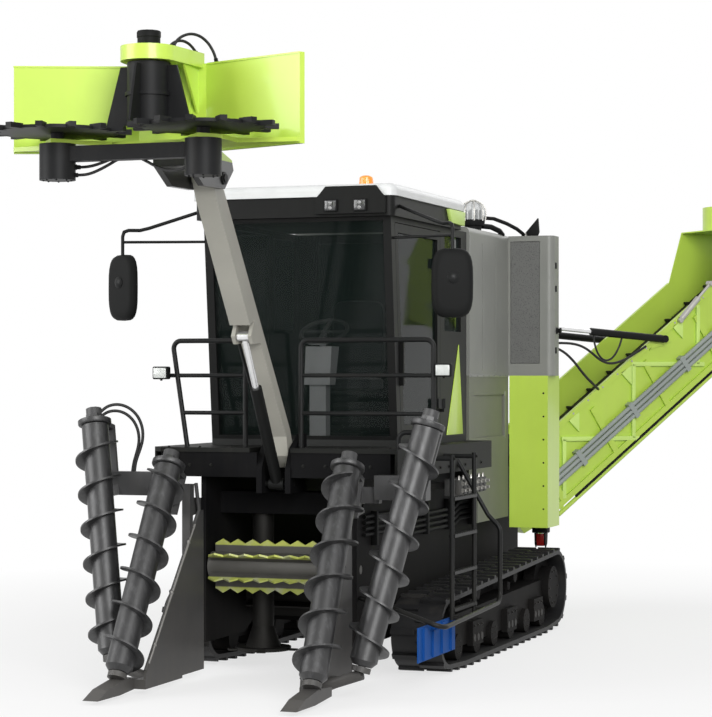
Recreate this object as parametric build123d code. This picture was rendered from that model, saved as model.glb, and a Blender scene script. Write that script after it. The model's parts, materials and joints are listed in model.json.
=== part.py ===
"""Tracked sugarcane harvester with a raised topper and a swung elevator, in millimetres.

While it is modelled, +X is the machine's left, -Y its front and +Z up. Y = 0 is the cab's
front face, Z = 0 the ground, X = 0 the middle plane. The export moves every piece by one
fixed offset, so that the origin lies below the middle of the whole machine's box.
"""
import os
from math import atan2, cos, degrees, hypot, pi, radians, sin, sqrt, tan

from build123d import *

# Offset of the export: the middle of the machine's box in X and Y
box_mid_x = 767.5
box_mid_y = 2036

# Room between a round seat, pin or rim and what it carries
seat_gap = 0.3

# Tracks
track_mid_x = 970
track_width = 400
belt_thick = 35
lug_tall = 25
lug_long = 44
lug_count = 44
idler_y, idler_z, idler_r = 150, 320, 240
sprocket_y, sprocket_z, sprocket_r = 3500, 385, 300
roller_r = 105
first_roller_y, last_roller_y = 560, 3150
roller_count = 6

# Frame
side_in, side_out = 600, 640
frame_front, frame_rear = -550, 4050
frame_top = 1740
deck_top = 1775
deck_front = -650
deck_left, deck_right = 1000, -1030
tow_bore = 35
tie_bars_y = (1337, 2373)

# Cab
cab_half = 784
cab_rear_y = 1860
cab_wall = 50
cab_eave = 3560
visor_top = cab_eave + 155
roof_top = visor_top + 95
lean = 170
door_front, door_back = 90, 1110

# Hood, cooling boxes and side boxes
hood_half = 800
hood_front, hood_rear = 1890, 3200
hood_top, hood_seam = 3610, 2330
cool_front, cool_deep = 3140, 260
cool_out = 1220
tank_out, tank_deep, tank_low = 1170, 420, 950

# Topper
arm_foot = (-460, 1700)
arm_len = 2510
arm_rise = 53.6
arm_half = 80
arm_back, arm_front = 95, 95
link_off = 150
cyl_foot = (-560, 1500)
eye_along, eye_out = 1196, 75
disc_x, disc_reach, disc_lift = 525, 1250, 210
drum_reach, drum_lift, drum_tall, drum_r = 950, 280, 412, 145
head_floor, motor_tall, wing_tall, bracket_thick = 30, 240, 600, 100
hose_r, divider_hose_r = 10, 12

# Crop dividers
hinge_y, hinge_z = -480, 1330
inner_low, inner_top = (753, -1804, 175), (722, -996, 1628)
outer_low, outer_top = (987, -1415, 250), (1338, -989, 1943)
scroll_r, flight_r, flight_thick, flight_pitch = 102, 165, 14, 270

# Rollers and base cutters in the throat
knock_y, knock_z, knock_r = -450, 850, 210
lift_y, lift_z, lift_r = 330, 560, 170
cutter_x, cutter_y, cutter_low = 290, -130, 170

# Extractor
fan_y, fan_r = 3650, 430
chamber_top = 3040

# Elevator, in its own plane: t runs outwards from the slew axis, z up
slew_reach = 650
slew_y = frame_rear + slew_reach
elevator_yaw = 45
wall_half, wall_thick = 450, 12
run_rise = 0.7625
low_edge = 475
wall_tall = 855
head_t, end_t = 2600, 3700
lift_t, lift_pin_z = 350, 1000
ear_t, ear_z = 120, 2840
top_eye_t, top_eye_z = 1900, 2700


def block(x0, x1, y0, y1, z0, z1):
    """A box between two corners."""
    return Pos((x0 + x1) / 2, (y0 + y1) / 2, (z0 + z1) / 2) * Box(x1 - x0, y1 - y0, z1 - z0)


def side_plate(points, x0, x1):
    """An outline in side view (y, z) with its thickness from x0 to x1."""
    face = Plane.YZ * make_face(Polyline(*points, close=True))
    return Pos(x0, 0, 0) * extrude(face, amount=x1 - x0, dir=(1, 0, 0))


def plan_plate(points, z0, z1):
    """An outline in plan (x, y) with its thickness from z0 to z1."""
    return Pos(0, 0, z0) * extrude(make_face(Polyline(*points, close=True)), amount=z1 - z0)


def front_plate(points, y0, y1):
    """An outline in front view (x, z) with its thickness from y0 to y1."""
    face = make_face(Polyline(*[(x, y0, z) for x, z in points], close=True))
    return extrude(face, amount=y1 - y0, dir=(0, 1, 0))


def bar(p, q, radius):
    """A round bar between two points."""
    run = Vector(q) - Vector(p)
    low = (Align.CENTER, Align.CENTER, Align.MIN)
    return Plane(origin=p, z_dir=run) * Cylinder(radius, run.length, align=low)


def pipe(points, radius, bend):
    """A round tube bent at the given points."""
    path = FilletPolyline(*points, radius=bend)
    return sweep(Plane(origin=path @ 0, z_dir=path % 0) * Circle(radius), path=path)


def cross_bar(y, z, radius, x0, x1):
    """A round bar along X."""
    return bar((x0, y, z), (x1, y, z), radius)


def post(x, y, radius, z0, z1):
    """A round bar along Z."""
    return bar((x, y, z0), (x, y, z1), radius)


def mirrored(shape):
    """The same piece on the machine's right."""
    return mirror(shape, about=Plane.YZ)


def group(*shapes):
    """Separate solids of one node."""
    return Compound(children=[solid for shape in shapes for solid in shape.solids()])


def both(shape):
    """A left piece and its mirror image in one node."""
    return group(shape, mirrored(shape))


def unit(y, z):
    """A direction in side view, one long."""
    return y / hypot(y, z), z / hypot(y, z)


def hull(circles):
    """Lines and arcs of a belt round circles (y, z, r), met anticlockwise."""
    normals = []
    for i, (y1, z1, r1) in enumerate(circles):
        y2, z2, r2 = circles[(i + 1) % len(circles)]
        span = hypot(y2 - y1, z2 - z1)
        ey, ez = (y2 - y1) / span, (z2 - z1) / span
        k = (r1 - r2) / span
        s = sqrt(1 - k * k)
        normals.append((ey * k + ez * s, ez * k - ey * s))
    edges = []
    for i, (y, z, r) in enumerate(circles):
        a, b = normals[i - 1], normals[i]
        turn = (atan2(b[1], b[0]) - atan2(a[1], a[0])) % (2 * pi)
        mid = atan2(a[1], a[0]) + turn / 2
        m = (cos(mid), sin(mid))
        arc = [(y + r * n[0], z + r * n[1]) for n in (a, m, b)]
        edges.append(ThreePointArc(*arc))
        y2, z2, r2 = circles[(i + 1) % len(circles)]
        edges.append(Line(arc[2], (y2 + r2 * b[0], z2 + r2 * b[1])))
    return Wire(edges)


def loop_face(circles, thick):
    """A belt's side view: its outer outline less its inner one."""
    outer = hull([(y, z, r + thick) for y, z, r in circles])
    return make_face(outer) - make_face(hull(circles)), outer


def teeth(wire, count, long, tall, shift):
    """Bars standing on a wire, evenly spaced, sunk 4 into it."""
    bars = []
    for i in range(count):
        u = ((i + shift) / count) % 1
        p, d = wire.position_at(u), wire.tangent_at(u)
        turn = degrees(atan2(d.Y, d.X))
        bars.append(Pos(p.X, p.Y) * Rot(0, 0, turn) * Pos(0, (4 - tall) / 2) * Rectangle(long, tall + 4))
    return bars


# Tracks: one loop each, its lugs in two staggered rows
roller_z = lug_tall + belt_thick + roller_r
track_circles = [
    (idler_y, idler_z, idler_r),
    (first_roller_y, roller_z, roller_r),
    (last_roller_y, roller_z, roller_r),
    (sprocket_y, sprocket_z, sprocket_r),
]
belt_face, belt_rim = loop_face(track_circles, belt_thick)
belt = None
for row in (0, 1):
    lugged = belt_face + teeth(belt_rim, lug_count, lug_long, lug_tall, row / 2)
    x0 = track_mid_x + (row - 1) * track_width / 2
    half = Pos(x0, 0, 0) * extrude(Plane.YZ * lugged, amount=track_width / 2, dir=(1, 0, 0))
    belt = half if belt is None else belt + half

# Track frame with its rollers, idler and sprocket in one piece
beam_out = track_mid_x + 100
beam_in = track_mid_x - 100
beam_line = [(idler_y, 230), (first_roller_y, 150), (last_roller_y, 150), (sprocket_y, 300),
             (sprocket_y, 470), (idler_y, 410)]
undercarriage = side_plate(beam_line, beam_in, beam_out)
for i in range(roller_count):
    y = first_roller_y + (last_roller_y - first_roller_y) * i / (roller_count - 1)
    undercarriage += cross_bar(y, roller_z, roller_r - seat_gap, beam_in - 40, beam_out + 40)
for y in (1078, 2114, 3000):
    undercarriage += block(beam_out, beam_out + 50, y - 150, y + 150, 130, 330)
undercarriage += cross_bar(idler_y, idler_z, idler_r - seat_gap, track_mid_x - 60, track_mid_x + 60)
undercarriage += cross_bar(idler_y, idler_z, 90, track_mid_x - 60, beam_out + 30)
undercarriage += cross_bar(sprocket_y, sprocket_z, sprocket_r - seat_gap, track_mid_x - 50, track_mid_x + 50)
undercarriage += cross_bar(sprocket_y, sprocket_z, 190, track_mid_x - 50, beam_out + 60)
top_rise = (sprocket_z + sprocket_r - idler_z - idler_r) / (sprocket_y - idler_y)
for y in (1250, 2400):
    top_z = idler_z + idler_r + top_rise * (y - idler_y)
    undercarriage += cross_bar(y, top_z - 62, 60, beam_in, beam_out)
    undercarriage += block(beam_in + 60, beam_out - 60, y - 40, y + 40, 400, top_z - 60)

# Frame side plates with the bores and stubs of the throat's rollers and the divider hinges
side_line = [(frame_front, 260), (250, 260), (700, 480), (frame_rear - 450, 480), (frame_rear, 640),
             (frame_rear, frame_top), (frame_front, frame_top)]
side = side_plate(side_line, side_in, side_out)
side -= cross_bar(knock_y, knock_z, 35.3, side_in, side_out)
side -= cross_bar(lift_y, lift_z, 35.3, side_in, side_out)
side += cross_bar(hinge_y, hinge_z, 25, side_out, side_out + 35)
side_plates = both(side)

# Places along the topper's raised arm; the head and its rotors are set out from the arm's end
run_y, run_z = -cos(radians(arm_rise)), sin(radians(arm_rise))
back_y, back_z = run_z, -run_y
arm_head = (arm_foot[0] + arm_len * run_y, arm_foot[1] + arm_len * run_z)
link_foot = (arm_foot[0] + link_off * back_y, arm_foot[1] + link_off * back_z)
link_head = (arm_head[0] + link_off * back_y, arm_head[1] + link_off * back_z)
disc_y, disc_z = arm_head[0] - disc_reach, arm_head[1] + disc_lift
drum_y, drum_low = arm_head[0] - drum_reach, arm_head[1] + drum_lift
drum_high = drum_low + drum_tall

# Cross members between and outside the side plates
front_beam = block(140, deck_left - 60, -640, frame_front, 1550, frame_top)
cheek_line = [(-650, 1430), (-300, 1430), (-300, 1880), (-390, 1880), (-560, 1770), (-650, 1620)]
cheek = side_plate(cheek_line, 95, 140)
cheek -= cross_bar(*arm_foot, 30.3, 90, 145)
cheek -= cross_bar(*cyl_foot, 20.3, 90, 145)
topper_base = cheek + mirrored(cheek) + block(-95, 95, -330, -300, 1430, 1735)
topper_base += front_beam + mirrored(front_beam)
topper_base += cross_bar(*link_foot, 15, -182, -140)
cutter_box = block(-side_in, side_in, cutter_y - 130, cutter_y + 130, 1250, 1420)
for x in (-cutter_x, cutter_x):
    cutter_box -= post(x, cutter_y, 45.3, 1250, 1420)
throat_floor = side_plate([(560, 330), (frame_rear - 600, 1000), (frame_rear - 600, 1030), (560, 360)],
                          -side_in, side_in)
rear_beam = block(-side_in, side_in, 3920, frame_rear, 640, 930)
rear_beam += block(-150, 150, frame_rear, slew_y, 800, 920) + post(0, slew_y, 170, 800, 920)
rear_beam += block(-40, 40, frame_rear, frame_rear + 120, 660, 800)
rear_beam -= post(0, slew_y, 60.3, 800, 920)
rear_beam -= cross_bar(frame_rear + 70, 720, tow_bore, -40, 40)
ties = []
for y in tie_bars_y:
    tie = block(-beam_in, beam_in, y - 60, y + 60, 300, 430)
    for x in (side_in, -side_out):
        tie += block(x, x + side_out - side_in, y - 60, y + 60, 430, 480)
    ties.append(tie)
engine_bed = block(-side_in, side_in, 2030, 2970, 1560, 1600)
throat_top = block(-side_in, side_in, 500, 640, 1600, frame_top)
tank_arm = block(side_out, hood_half + 10, 3250, 3350, 1500, 1600)
cross_frame = group(topper_base, cutter_box, throat_floor, rear_beam, *ties, engine_bed, throat_top,
                    tank_arm, mirrored(tank_arm))

# Deck: plate, valance and steps beside the cab
deck_line = [(deck_right, -560), (-940, deck_front), (-195, deck_front), (-195, -290), (140, -290),
             (140, deck_front), (deck_left, deck_front), (deck_left, hood_front), (770, hood_front),
             (770, hood_rear), (side_out, hood_rear), (side_out, frame_rear), (-side_out, frame_rear),
             (-side_out, hood_rear), (-770, hood_rear), (-770, 600), (deck_right, 600)]
deck = plan_plate(deck_line, frame_top, deck_top)
deck -= block(-470, 470, 2010, 2990, frame_top, deck_top)
deck -= post(0, fan_y, fan_r - 60, frame_top, deck_top)
deck += block(deck_left - 20, deck_left, deck_front, hood_front, 1550, frame_top)
deck += block(deck_right, deck_right + 20, -560, 600, 1550, frame_top)

# Guard rails in two halves, so that the topper's link passes between them
rail_y = -500
rail_zs = (2040, 2330, 2600)
rail_r, rail_thin = 19, 16
rail_end = 1235
rail_left = pipe([(-780, rail_y, deck_top), (-905, rail_y, rail_zs[2]), (-290, rail_y, rail_zs[2]),
                  (-290, rail_y, deck_top)], rail_r, 60)
for z in rail_zs[:2]:
    x0 = -780 - 125 * (z - deck_top) / (rail_zs[2] - deck_top)
    rail_left += bar((x0, rail_y, z), (-290, rail_y, z), rail_thin)
rail_left += bar((-975, rail_y, rail_zs[1]), (-860, rail_y, rail_zs[1]), rail_thin)
rail_right = pipe([(170, rail_y, deck_top), (170, rail_y, rail_zs[2]), (rail_end, rail_y, rail_zs[2]),
                   (rail_end, rail_y, 1900), (960, rail_y, 1900), (960, rail_y, deck_top)], rail_r, 60)
for z in rail_zs[:2]:
    rail_right += bar((170, rail_y, z), (rail_end, rail_y, z), rail_thin)
rail_left -= block(-900, -700, rail_y - 50, rail_y + 50, frame_top, deck_top)
rails = group(rail_left, rail_right)
lamp_x = rail_end + rail_r + seat_gap
rail_lamps = group(block(-1040, -910, rail_y - 95, rail_y - rail_thin - seat_gap, 2300, 2400),
                   block(lamp_x, lamp_x + 130, rail_y - 55, rail_y + 20, 2320, 2420))

# Ladder with its low guard tube
ladder_x = 1250
ladder = bar((ladder_x, -80, 450), (ladder_x, -80, 1720), 18)
ladder += bar((ladder_x, 520, 450), (ladder_x, 520, 1720), 18)
for z in (525, 810, 1095, 1380):
    ladder += block(ladder_x - 25, ladder_x + 25, -80, 520, z - 12, z + 12)
for y in (-80, 520):
    ladder += bar((deck_left, y, 1690), (ladder_x, y, 1690), 18)
ladder += pipe([(ladder_x, 920, 1200), (1350, 920, 1100), (1350, 920, 500), (1350, -630, 450),
                (1000, -630, 570), (650, -500, 640)], 19, 90)
for y in (-80, 520):
    z = 450 + 50 * (y + 630) / 1550
    ladder += bar((ladder_x, y, 470), (1350, y, z), 16)
ladder += bar((deck_left - 20, 920, 1660), (ladder_x, 920, 1200), 18)
ladder -= block(deck_left - 80, deck_left, -200, 1100, 1500, deck_top)

# Ribbed guard before the left track
skirt = block(1195, 1205, -780, 150, 200, 460)
for i in range(4):
    skirt += block(1205, 1222, -680 + 230 * i, -620 + 230 * i, 210, 450)
for y in (-480, 60):
    skirt += bar((1200, y, 420), (1350, y, 450 + 50 * (y + 630) / 1550), 12)
skirt_cut = bar((1350, -630, 450), (1350, 920, 500), 19)
skirt -= skirt_cut

nodes = {
    "tracks": both(belt),
    "track_frames": both(undercarriage),
    "side_plates": side_plates,
    "cross_frame": cross_frame,
    "deck": deck,
    "guard_rails": rails,
    "boarding_ladder": ladder,
    "track_skirt": skirt,
}

# Cab: floor, four walls with windows, roof; the windscreen wall leans forward at its top
floor_top = deck_top + 50
glass = 8
cab_floor = block(-cab_half, cab_half, 0, cab_rear_y, deck_top, floor_top)


def leaning(points, y0, y1):
    """An outline in front view sheared forward with height above the floor."""
    def at(x, z, y):
        return (x, y - lean * (z - floor_top) / (cab_eave - floor_top), z)
    rims = [Polyline(*[at(x, z, y) for x, z in points], close=True) for y in (y0, y1)]
    return loft([make_face(rim) for rim in rims])


front_line = [(-cab_half, floor_top), (cab_half, floor_top), (cab_half, cab_eave), (-cab_half, cab_eave)]
screen_line = [(-cab_half + 65, floor_top + 30), (cab_half - 65, floor_top + 30),
               (cab_half - 65, cab_eave - 30), (-cab_half + 65, cab_eave - 30)]
cab_front = leaning(front_line, 0, cab_wall) - leaning(screen_line, 0, cab_wall)
windscreen = leaning(screen_line, 20, 20 + glass)


def shear_y(y, z):
    """How far the wall's front edge has come forward at a height."""
    return y - lean * (z - floor_top) / (cab_eave - floor_top)


wall_in = cab_half - cab_wall
side_front = cab_wall
side_outline = [(shear_y(side_front, floor_top), floor_top), (cab_rear_y - cab_wall, floor_top),
                (cab_rear_y - cab_wall, cab_eave), (shear_y(side_front, cab_eave), cab_eave)]
door_line = [(shear_y(door_front, floor_top + 40), floor_top + 40), (door_back, floor_top + 40),
             (door_back, cab_eave - 40), (shear_y(door_front, cab_eave - 40), cab_eave - 40)]
quarter_sill = cab_eave - 860
quarter = [(1230, quarter_sill), (1700, quarter_sill), (1700, cab_eave - 60), (1230, cab_eave - 60)]
cab_left = side_plate(side_outline, wall_in, cab_half)
cab_left -= side_plate(door_line, wall_in, cab_half) + side_plate(quarter, wall_in, cab_half)
door_gap = 6
in_door = [(y + door_gap if i in (0, 3) else y - door_gap, z + door_gap if i < 2 else z - door_gap)
           for i, (y, z) in enumerate(door_line)]
in_pane = [(y + 70 if i in (0, 3) else y - 70, z + 70 if i < 2 else z - 70)
           for i, (y, z) in enumerate(in_door)]
hinge_x = cab_half + 25
cab_door = side_plate(in_door, wall_in, cab_half) - side_plate(in_pane, wall_in, cab_half)
for z in (floor_top + 275, cab_eave - 310):
    cab_door += block(cab_half, hinge_x, door_back - 120, door_back - door_gap, z - 40, z + 40)
    cab_door += post(hinge_x, door_back + 12, 18, z - 40, z + 40)
    cab_door += block(cab_half + 7, hinge_x, door_back - 30, door_back + 12, z - 40, z + 40)
    cab_door -= post(hinge_x, door_back + 12, 9, z - 40, z + 40)
    cab_left += block(cab_half, hinge_x + 9, door_back, door_back + 24, z - 70, z - 45)
    cab_left += post(hinge_x, door_back + 12, 8.7, z - 70, z + 38)
cab_door += block(cab_half, cab_half + 30, 58, 84, floor_top + 425, floor_top + 775)
door_glass = side_plate(in_pane, wall_in + 20, wall_in + 20 + glass)
cab_right = side_plate(side_outline, -cab_half, -wall_in)
right_window = [(y + 40 if i in (0, 3) else y, z) for i, (y, z) in enumerate(door_line)]
cab_right -= side_plate(right_window, -cab_half, -wall_in) + side_plate(quarter, -cab_half, -wall_in)
rear_window = [(-550, quarter_sill), (550, quarter_sill), (550, cab_eave - 80), (-550, cab_eave - 80)]
cab_back = front_plate(front_line, cab_rear_y - cab_wall, cab_rear_y)
cab_back -= front_plate(rear_window, cab_rear_y - cab_wall, cab_rear_y)
cab_glass = group(
    windscreen,
    side_plate(right_window, -wall_in - 20 - glass, -wall_in - 20),
    side_plate(quarter, wall_in + 20, wall_in + 20 + glass),
    side_plate(quarter, -wall_in - 20 - glass, -wall_in - 20),
    front_plate(rear_window, cab_rear_y - 30, cab_rear_y - 30 + glass),
)
roof_half = 850
visor_front, roof_front, bay_front = -250, -270, -288
visor = block(-roof_half + 20, roof_half - 20, visor_front, 1600, cab_eave, visor_top)
visor = fillet(visor.edges().filter_by(Axis.Z), 60)
roof = block(-roof_half, roof_half, roof_front, 1630, visor_top, roof_top)
roof = fillet(roof.edges().filter_by(Axis.Z), 80)
roof = fillet(roof.faces().sort_by(Axis.Z)[-1].edges(), 50)
bay_line = [(205, cab_eave + 20), (780, cab_eave + 20), (780, visor_top - 20), (700, roof_top - 18),
            (290, roof_top - 18), (205, visor_top - 20)]
lamp_bay = front_plate(bay_line, bay_front, visor_front)
visor += lamp_bay
roof -= lamp_bay
beacon = post(420, 300, 45, roof_top, roof_top + 25) + post(420, 300, 38, roof_top + 25, roof_top + 115)
roof_lamps = group(*[block(x - 55, x + 55, bay_front - 14, bay_front, cab_eave + 35, visor_top - 25)
                     for x in (335, 575)])
mirror_x, mirror_y, mirror_turn = 1365, -440, 25
mirror_low, mirror_high = cab_eave - 800, cab_eave - 270
stay_z = cab_eave - 80
mirror_arm = pipe([(roof_half - 20, -100, cab_eave + 80), (mirror_x - 110, -330, stay_z),
                   (mirror_x, mirror_y, stay_z), (mirror_x, mirror_y, mirror_high)], 14, 60)
mirror_arm += bar((cab_half - 20, -120, stay_z - 85), (mirror_x, mirror_y, stay_z - 95), 11)
mirror_arm -= block(0, roof_half - 20, -300, 200, cab_eave, visor_top)
mirror_arm -= block(0, cab_half, -300, 200, cab_eave - 300, cab_eave)
mirror_head = block(-160, 160, -40, 25, mirror_low, mirror_high)
mirror_head = fillet(mirror_head.edges().filter_by(Axis.Y), 60)
mirror_head = fillet(mirror_head.faces().sort_by(Axis.Y)[0].edges(), 24)
mirror_head = Pos(mirror_x, mirror_y, 0) * Rot(0, 0, mirror_turn) * mirror_head
mirrors = both(mirror_arm + mirror_head)

seat = fillet(block(-250, 250, 850, 1350, floor_top + 380, floor_top + 500).edges(), 40)
seat += fillet(block(-240, 240, 1270, 1390, floor_top + 460, floor_top + 1150).edges(), 40)
seat += block(-150, 150, 950, 1250, floor_top, floor_top + 380)
column = block(-70, 70, 320, 420, floor_top, floor_top + 430)
column += side_plate([(300, floor_top + 430), (430, floor_top + 430), (520, floor_top + 740),
                      (340, floor_top + 740)], -110, 110)
wheel_at = Pos(0, 470, floor_top + 860) * Rot(30, 0, 0)
column += wheel_at * Torus(190, 16)
column += wheel_at * (Box(380, 30, 14) + Box(30, 380, 14))
column += bar((0, 430, floor_top + 700), (0, 470, floor_top + 860), 25)

# Hood with its lower side panels, the engine, the cooling boxes and the side boxes
hood = block(-hood_half, hood_half, hood_front, hood_rear, hood_seam, hood_top)
hood = fillet(hood.edges().filter_by(Axis.Y).sort_by(Axis.Z)[-2:], 50)
hood -= block(-hood_half + 30, hood_half - 30, hood_front + 30, hood_rear - 30, hood_seam, hood_top - 30)
for y in (2300, 2720):
    for x in (-hood_half, hood_half - 5):
        hood -= block(x, x + 5, y, y + 12, hood_seam + 40, hood_top - 120)
low_panel_line = [(hood_front, 1420), (2150, 1420), (2150, 1050), (cool_front, 1050),
                  (cool_front, hood_seam), (hood_front, hood_seam)]
low_panel = side_plate(low_panel_line, 770, hood_half)
low_panel -= block(770 + 15, hood_half, 2050, 3000, hood_seam - 540, hood_seam - 170)
engine = block(-420, 420, 2060, 2940, 1600, 2450)
cool = block(hood_half, cool_out, cool_front, cool_front + cool_deep, hood_seam, hood_top - 10)
cool = fillet(cool.edges().filter_by(Axis.Z).sort_by(Axis.X)[-2:], 60)
cool -= block(hood_half + 40, cool_out - 40, cool_front + 35, cool_front + cool_deep - 30,
              hood_seam + 40, hood_top - 60)
grille_x0, grille_x1 = hood_half + 20, cool_out - 125
grille_low, grille_high = hood_seam + 110, hood_top - 60
grille_bars, bar_tall = 18, 20
cool -= block(grille_x0, grille_x1, cool_front, cool_front + 35, grille_low, grille_high)
bar_pitch = (grille_high - grille_low - 30) / grille_bars
for i in range(grille_bars):
    z = grille_low + 30 + bar_pitch * i
    cool += block(grille_x0, grille_x1, cool_front + 10, cool_front + 24, z, z + bar_tall)
tank = block(hood_half + 10, tank_out, cool_front, cool_front + tank_deep, tank_low, hood_seam)
tank -= block(hood_half + 45, tank_out - 35, cool_front + 35, cool_front + tank_deep - 35,
              tank_low + 35, hood_seam - 35)
exhaust = post(560, 2650, 70, hood_top, hood_top + 60) + post(560, 2650, 45, hood_top + 60, hood_top + 150)
cleaner = post(300, 2350, 95, hood_top, hood_top + 110)
cleaner = fillet(cleaner.edges().sort_by(Axis.Z)[-1], 45) + post(300, 2350, 104, hood_top, hood_top + 30)

# Extractor: chamber on the deck, fan on a spider, hood turning on the rim
chamber = post(0, fan_y, fan_r, deck_top, chamber_top) - post(0, fan_y, fan_r - 25, deck_top, chamber_top)
chamber += block(-fan_r + 10, fan_r - 10, fan_y - 40, fan_y + 40, 2700, 2760)
chamber += post(0, fan_y, 90, 2660, 2760)
chamber -= post(0, fan_y, 40.3, 2660, 2760)
chamber += block(-90, 90, fan_y + fan_r - 20, slew_y, 2920, 3020) + post(0, slew_y, 150, 2920, 3020)
chamber -= post(0, slew_y, 60.3, 2920, 3020)
fan = post(0, fan_y, 110, 2770, 2890) + post(0, fan_y, 40, 2670, 2770)
for i in range(6):
    blade = Pos(245, 0, 2830) * Rot(35, 0, 0) * Box(290, 130, 10)
    fan += Pos(0, fan_y, 0) * Rot(0, 0, 60 * i) * blade
cap_low = chamber_top + seat_gap
cap_tall = 430
hood_elbow = post(0, fan_y, fan_r, cap_low, cap_low + cap_tall)
slant = [(fan_y - 500, cap_low + 200), (fan_y - 150, cap_low + cap_tall), (fan_y - 500, cap_low + cap_tall)]
hood_elbow -= side_plate(slant, -fan_r, fan_r)
cavity = post(0, fan_y, fan_r - 25, cap_low, cap_low + cap_tall - 25)
shelf = [(y, z - 35) for y, z in slant[:2]] + [(fan_y - 150, cap_low + cap_tall), slant[2]]
cavity -= side_plate(shelf, -fan_r, fan_r)
hood_elbow -= cavity
hood_elbow -= block(-260, 260, fan_y, fan_y + fan_r + 10, cap_low + 110, cap_low + cap_tall - 60)
hood_elbow = Pos(0, fan_y, 0) * Rot(0, 0, 60) * Pos(0, -fan_y, 0) * hood_elbow

nodes.update({
    "cab_floor": cab_floor,
    "cab_ends": group(cab_front, cab_back),
    "cab_sides": group(cab_left, cab_right),
    "cab_glass": cab_glass,
    "cab_visor": visor,
    "cab_roof": roof,
    "cab_door": cab_door,
    "door_glass": door_glass,
    "beacon": beacon,
    "work_lamps": group(rail_lamps, roof_lamps),
    "mirrors": mirrors,
    "seat": seat,
    "steering_column": column,
    "hood": hood,
    "hood_sides": both(low_panel),
    "engine": engine,
    "cooling_boxes": both(cool),
    "side_boxes": both(tank),
    "exhaust": group(exhaust, cleaner),
    "extractor_chamber": chamber,
    "extractor_fan": fan,
    "extractor_hood": hood_elbow,
})


def along_arm(s, n):
    """A point of the side view, s along the topper's arm and n before its axis."""
    return arm_foot[0] + s * run_y - n * back_y, arm_foot[1] + s * run_z - n * back_z


# Topper arm, thinner below, with lugs for the lift rod's eye
arm = side_plate([along_arm(-70, -60), along_arm(-70, 40), along_arm(60, 60), along_arm(200, 0),
                  along_arm(1290, 0), along_arm(1310, arm_front), along_arm(2380, arm_front - 20),
                  along_arm(arm_len + 60, 45), along_arm(arm_len + 60, -45),
                  along_arm(2380, -arm_back + 20), along_arm(200, -arm_back), along_arm(60, -70)],
                 -arm_half, arm_half)
arm += cross_bar(*arm_foot, 30, -138, 138) + cross_bar(*arm_head, 30, -138, 138)
lug_line = [along_arm(1080, 0), along_arm(1160, 125), along_arm(1232, 125), along_arm(1290, 0)]
arm += side_plate(lug_line, 52, arm_half) + side_plate(lug_line, -arm_half, -52)
eye = along_arm(eye_along, eye_out)
cyl_run = unit(eye[0] - cyl_foot[0], eye[1] - cyl_foot[1])
cyl_long = hypot(eye[0] - cyl_foot[0], eye[1] - cyl_foot[1])


def on_cylinder(d):
    """A point d along the topper's lift cylinder."""
    return (0, cyl_foot[0] + d * cyl_run[0], cyl_foot[1] + d * cyl_run[1])


barrel_end = 860
topper_barrel = bar(on_cylinder(30), on_cylinder(barrel_end), 45)
topper_barrel -= bar(on_cylinder(90), on_cylinder(barrel_end), 25.3)
topper_barrel += cross_bar(*cyl_foot, 45, -60, 60) + cross_bar(*cyl_foot, 20, -138, 138)
topper_rod = bar(on_cylinder(barrel_end - 440), on_cylinder(cyl_long), 25)
topper_rod += cross_bar(*eye, 38, -45, 45)
link_x0, link_x1 = -176, -150
topper_link = bar((-163, *link_foot), (-163, *link_head), 19)
topper_link += cross_bar(*link_foot, 36, link_x0, link_x1) + cross_bar(*link_head, 36, link_x0, link_x1)
for pin in (link_foot, link_head):
    topper_link -= cross_bar(*pin, 15.3, link_x0 - 20, link_x1 + 20)



def from_head(y, z):
    """A point of the side view, measured from the pin at the arm's end."""
    return arm_head[0] + y, arm_head[1] + z


# Topper head: neck cheeks, floor, back wall, wings, bracket over the drum, motors
neck_line = [from_head(-570, 40), from_head(-350, -80), from_head(20, -75),
             (link_head[0] + 60, link_head[1] - 20), (link_head[0] + 30, link_head[1] + 50),
             from_head(-250, 240), from_head(-570, 240)]
neck = side_plate(neck_line, 95, 140) - cross_bar(*arm_head, 30.3, 90, 145)
head = neck + mirrored(neck)
head += cross_bar(*link_head, 15, -182, -140)
floor_low = disc_z - 70
floor_high = floor_low + head_floor
half_floor = [(250, -540), (1060, -850), (1040, -900), (640, -950), (640, -1200), (525, -1350), (410, -1200),
              (250, -1000)]
floor_line = half_floor + [(-x, y) for x, y in reversed(half_floor)]
head += plan_plate([(x, arm_head[0] + y) for x, y in floor_line], floor_low, floor_high)
wing_line = [(0, -525), (250, -525), (1070, -840), (1050, -875), (250, -565), (0, -565)]
wing_top = floor_low - 10 + wing_tall
wing = plan_plate([(x, arm_head[0] + y) for x, y in wing_line], floor_low - 10, wing_top)
head += wing + mirrored(wing)
bracket_low = drum_high + 8
bracket_top = bracket_low + bracket_thick
bracket_rear = arm_head[0] - 550
top_line = [(-190, drum_y), (190, drum_y), (230, bracket_rear), (-230, bracket_rear)]
head += plan_plate(top_line, bracket_low, bracket_top) + post(0, drum_y, 190, bracket_low, bracket_top)
head += block(-140, 140, bracket_rear - 30, bracket_rear + 30, floor_low - 100, bracket_top)
gusset_line = [(drum_y + 150, bracket_low), (bracket_rear, bracket_low), (bracket_rear, bracket_low - 330)]
gusset = side_plate(gusset_line, 175, 190)
head += gusset + mirrored(gusset)
head -= post(0, drum_y, 40.3, bracket_low, bracket_top)
for x in (-disc_x, disc_x):
    head -= post(x, disc_y, 45.3, floor_low, floor_high)
motor_low = floor_low - motor_tall
motor = post(disc_x, disc_y, 120, motor_low, floor_low)
motor -= post(disc_x, disc_y, 45.3, floor_low - 100, floor_low)
cross_tube = block(-disc_x + 100, disc_x - 100, disc_y - 50, disc_y + 50, floor_low - 120, floor_low - 20)
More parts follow.
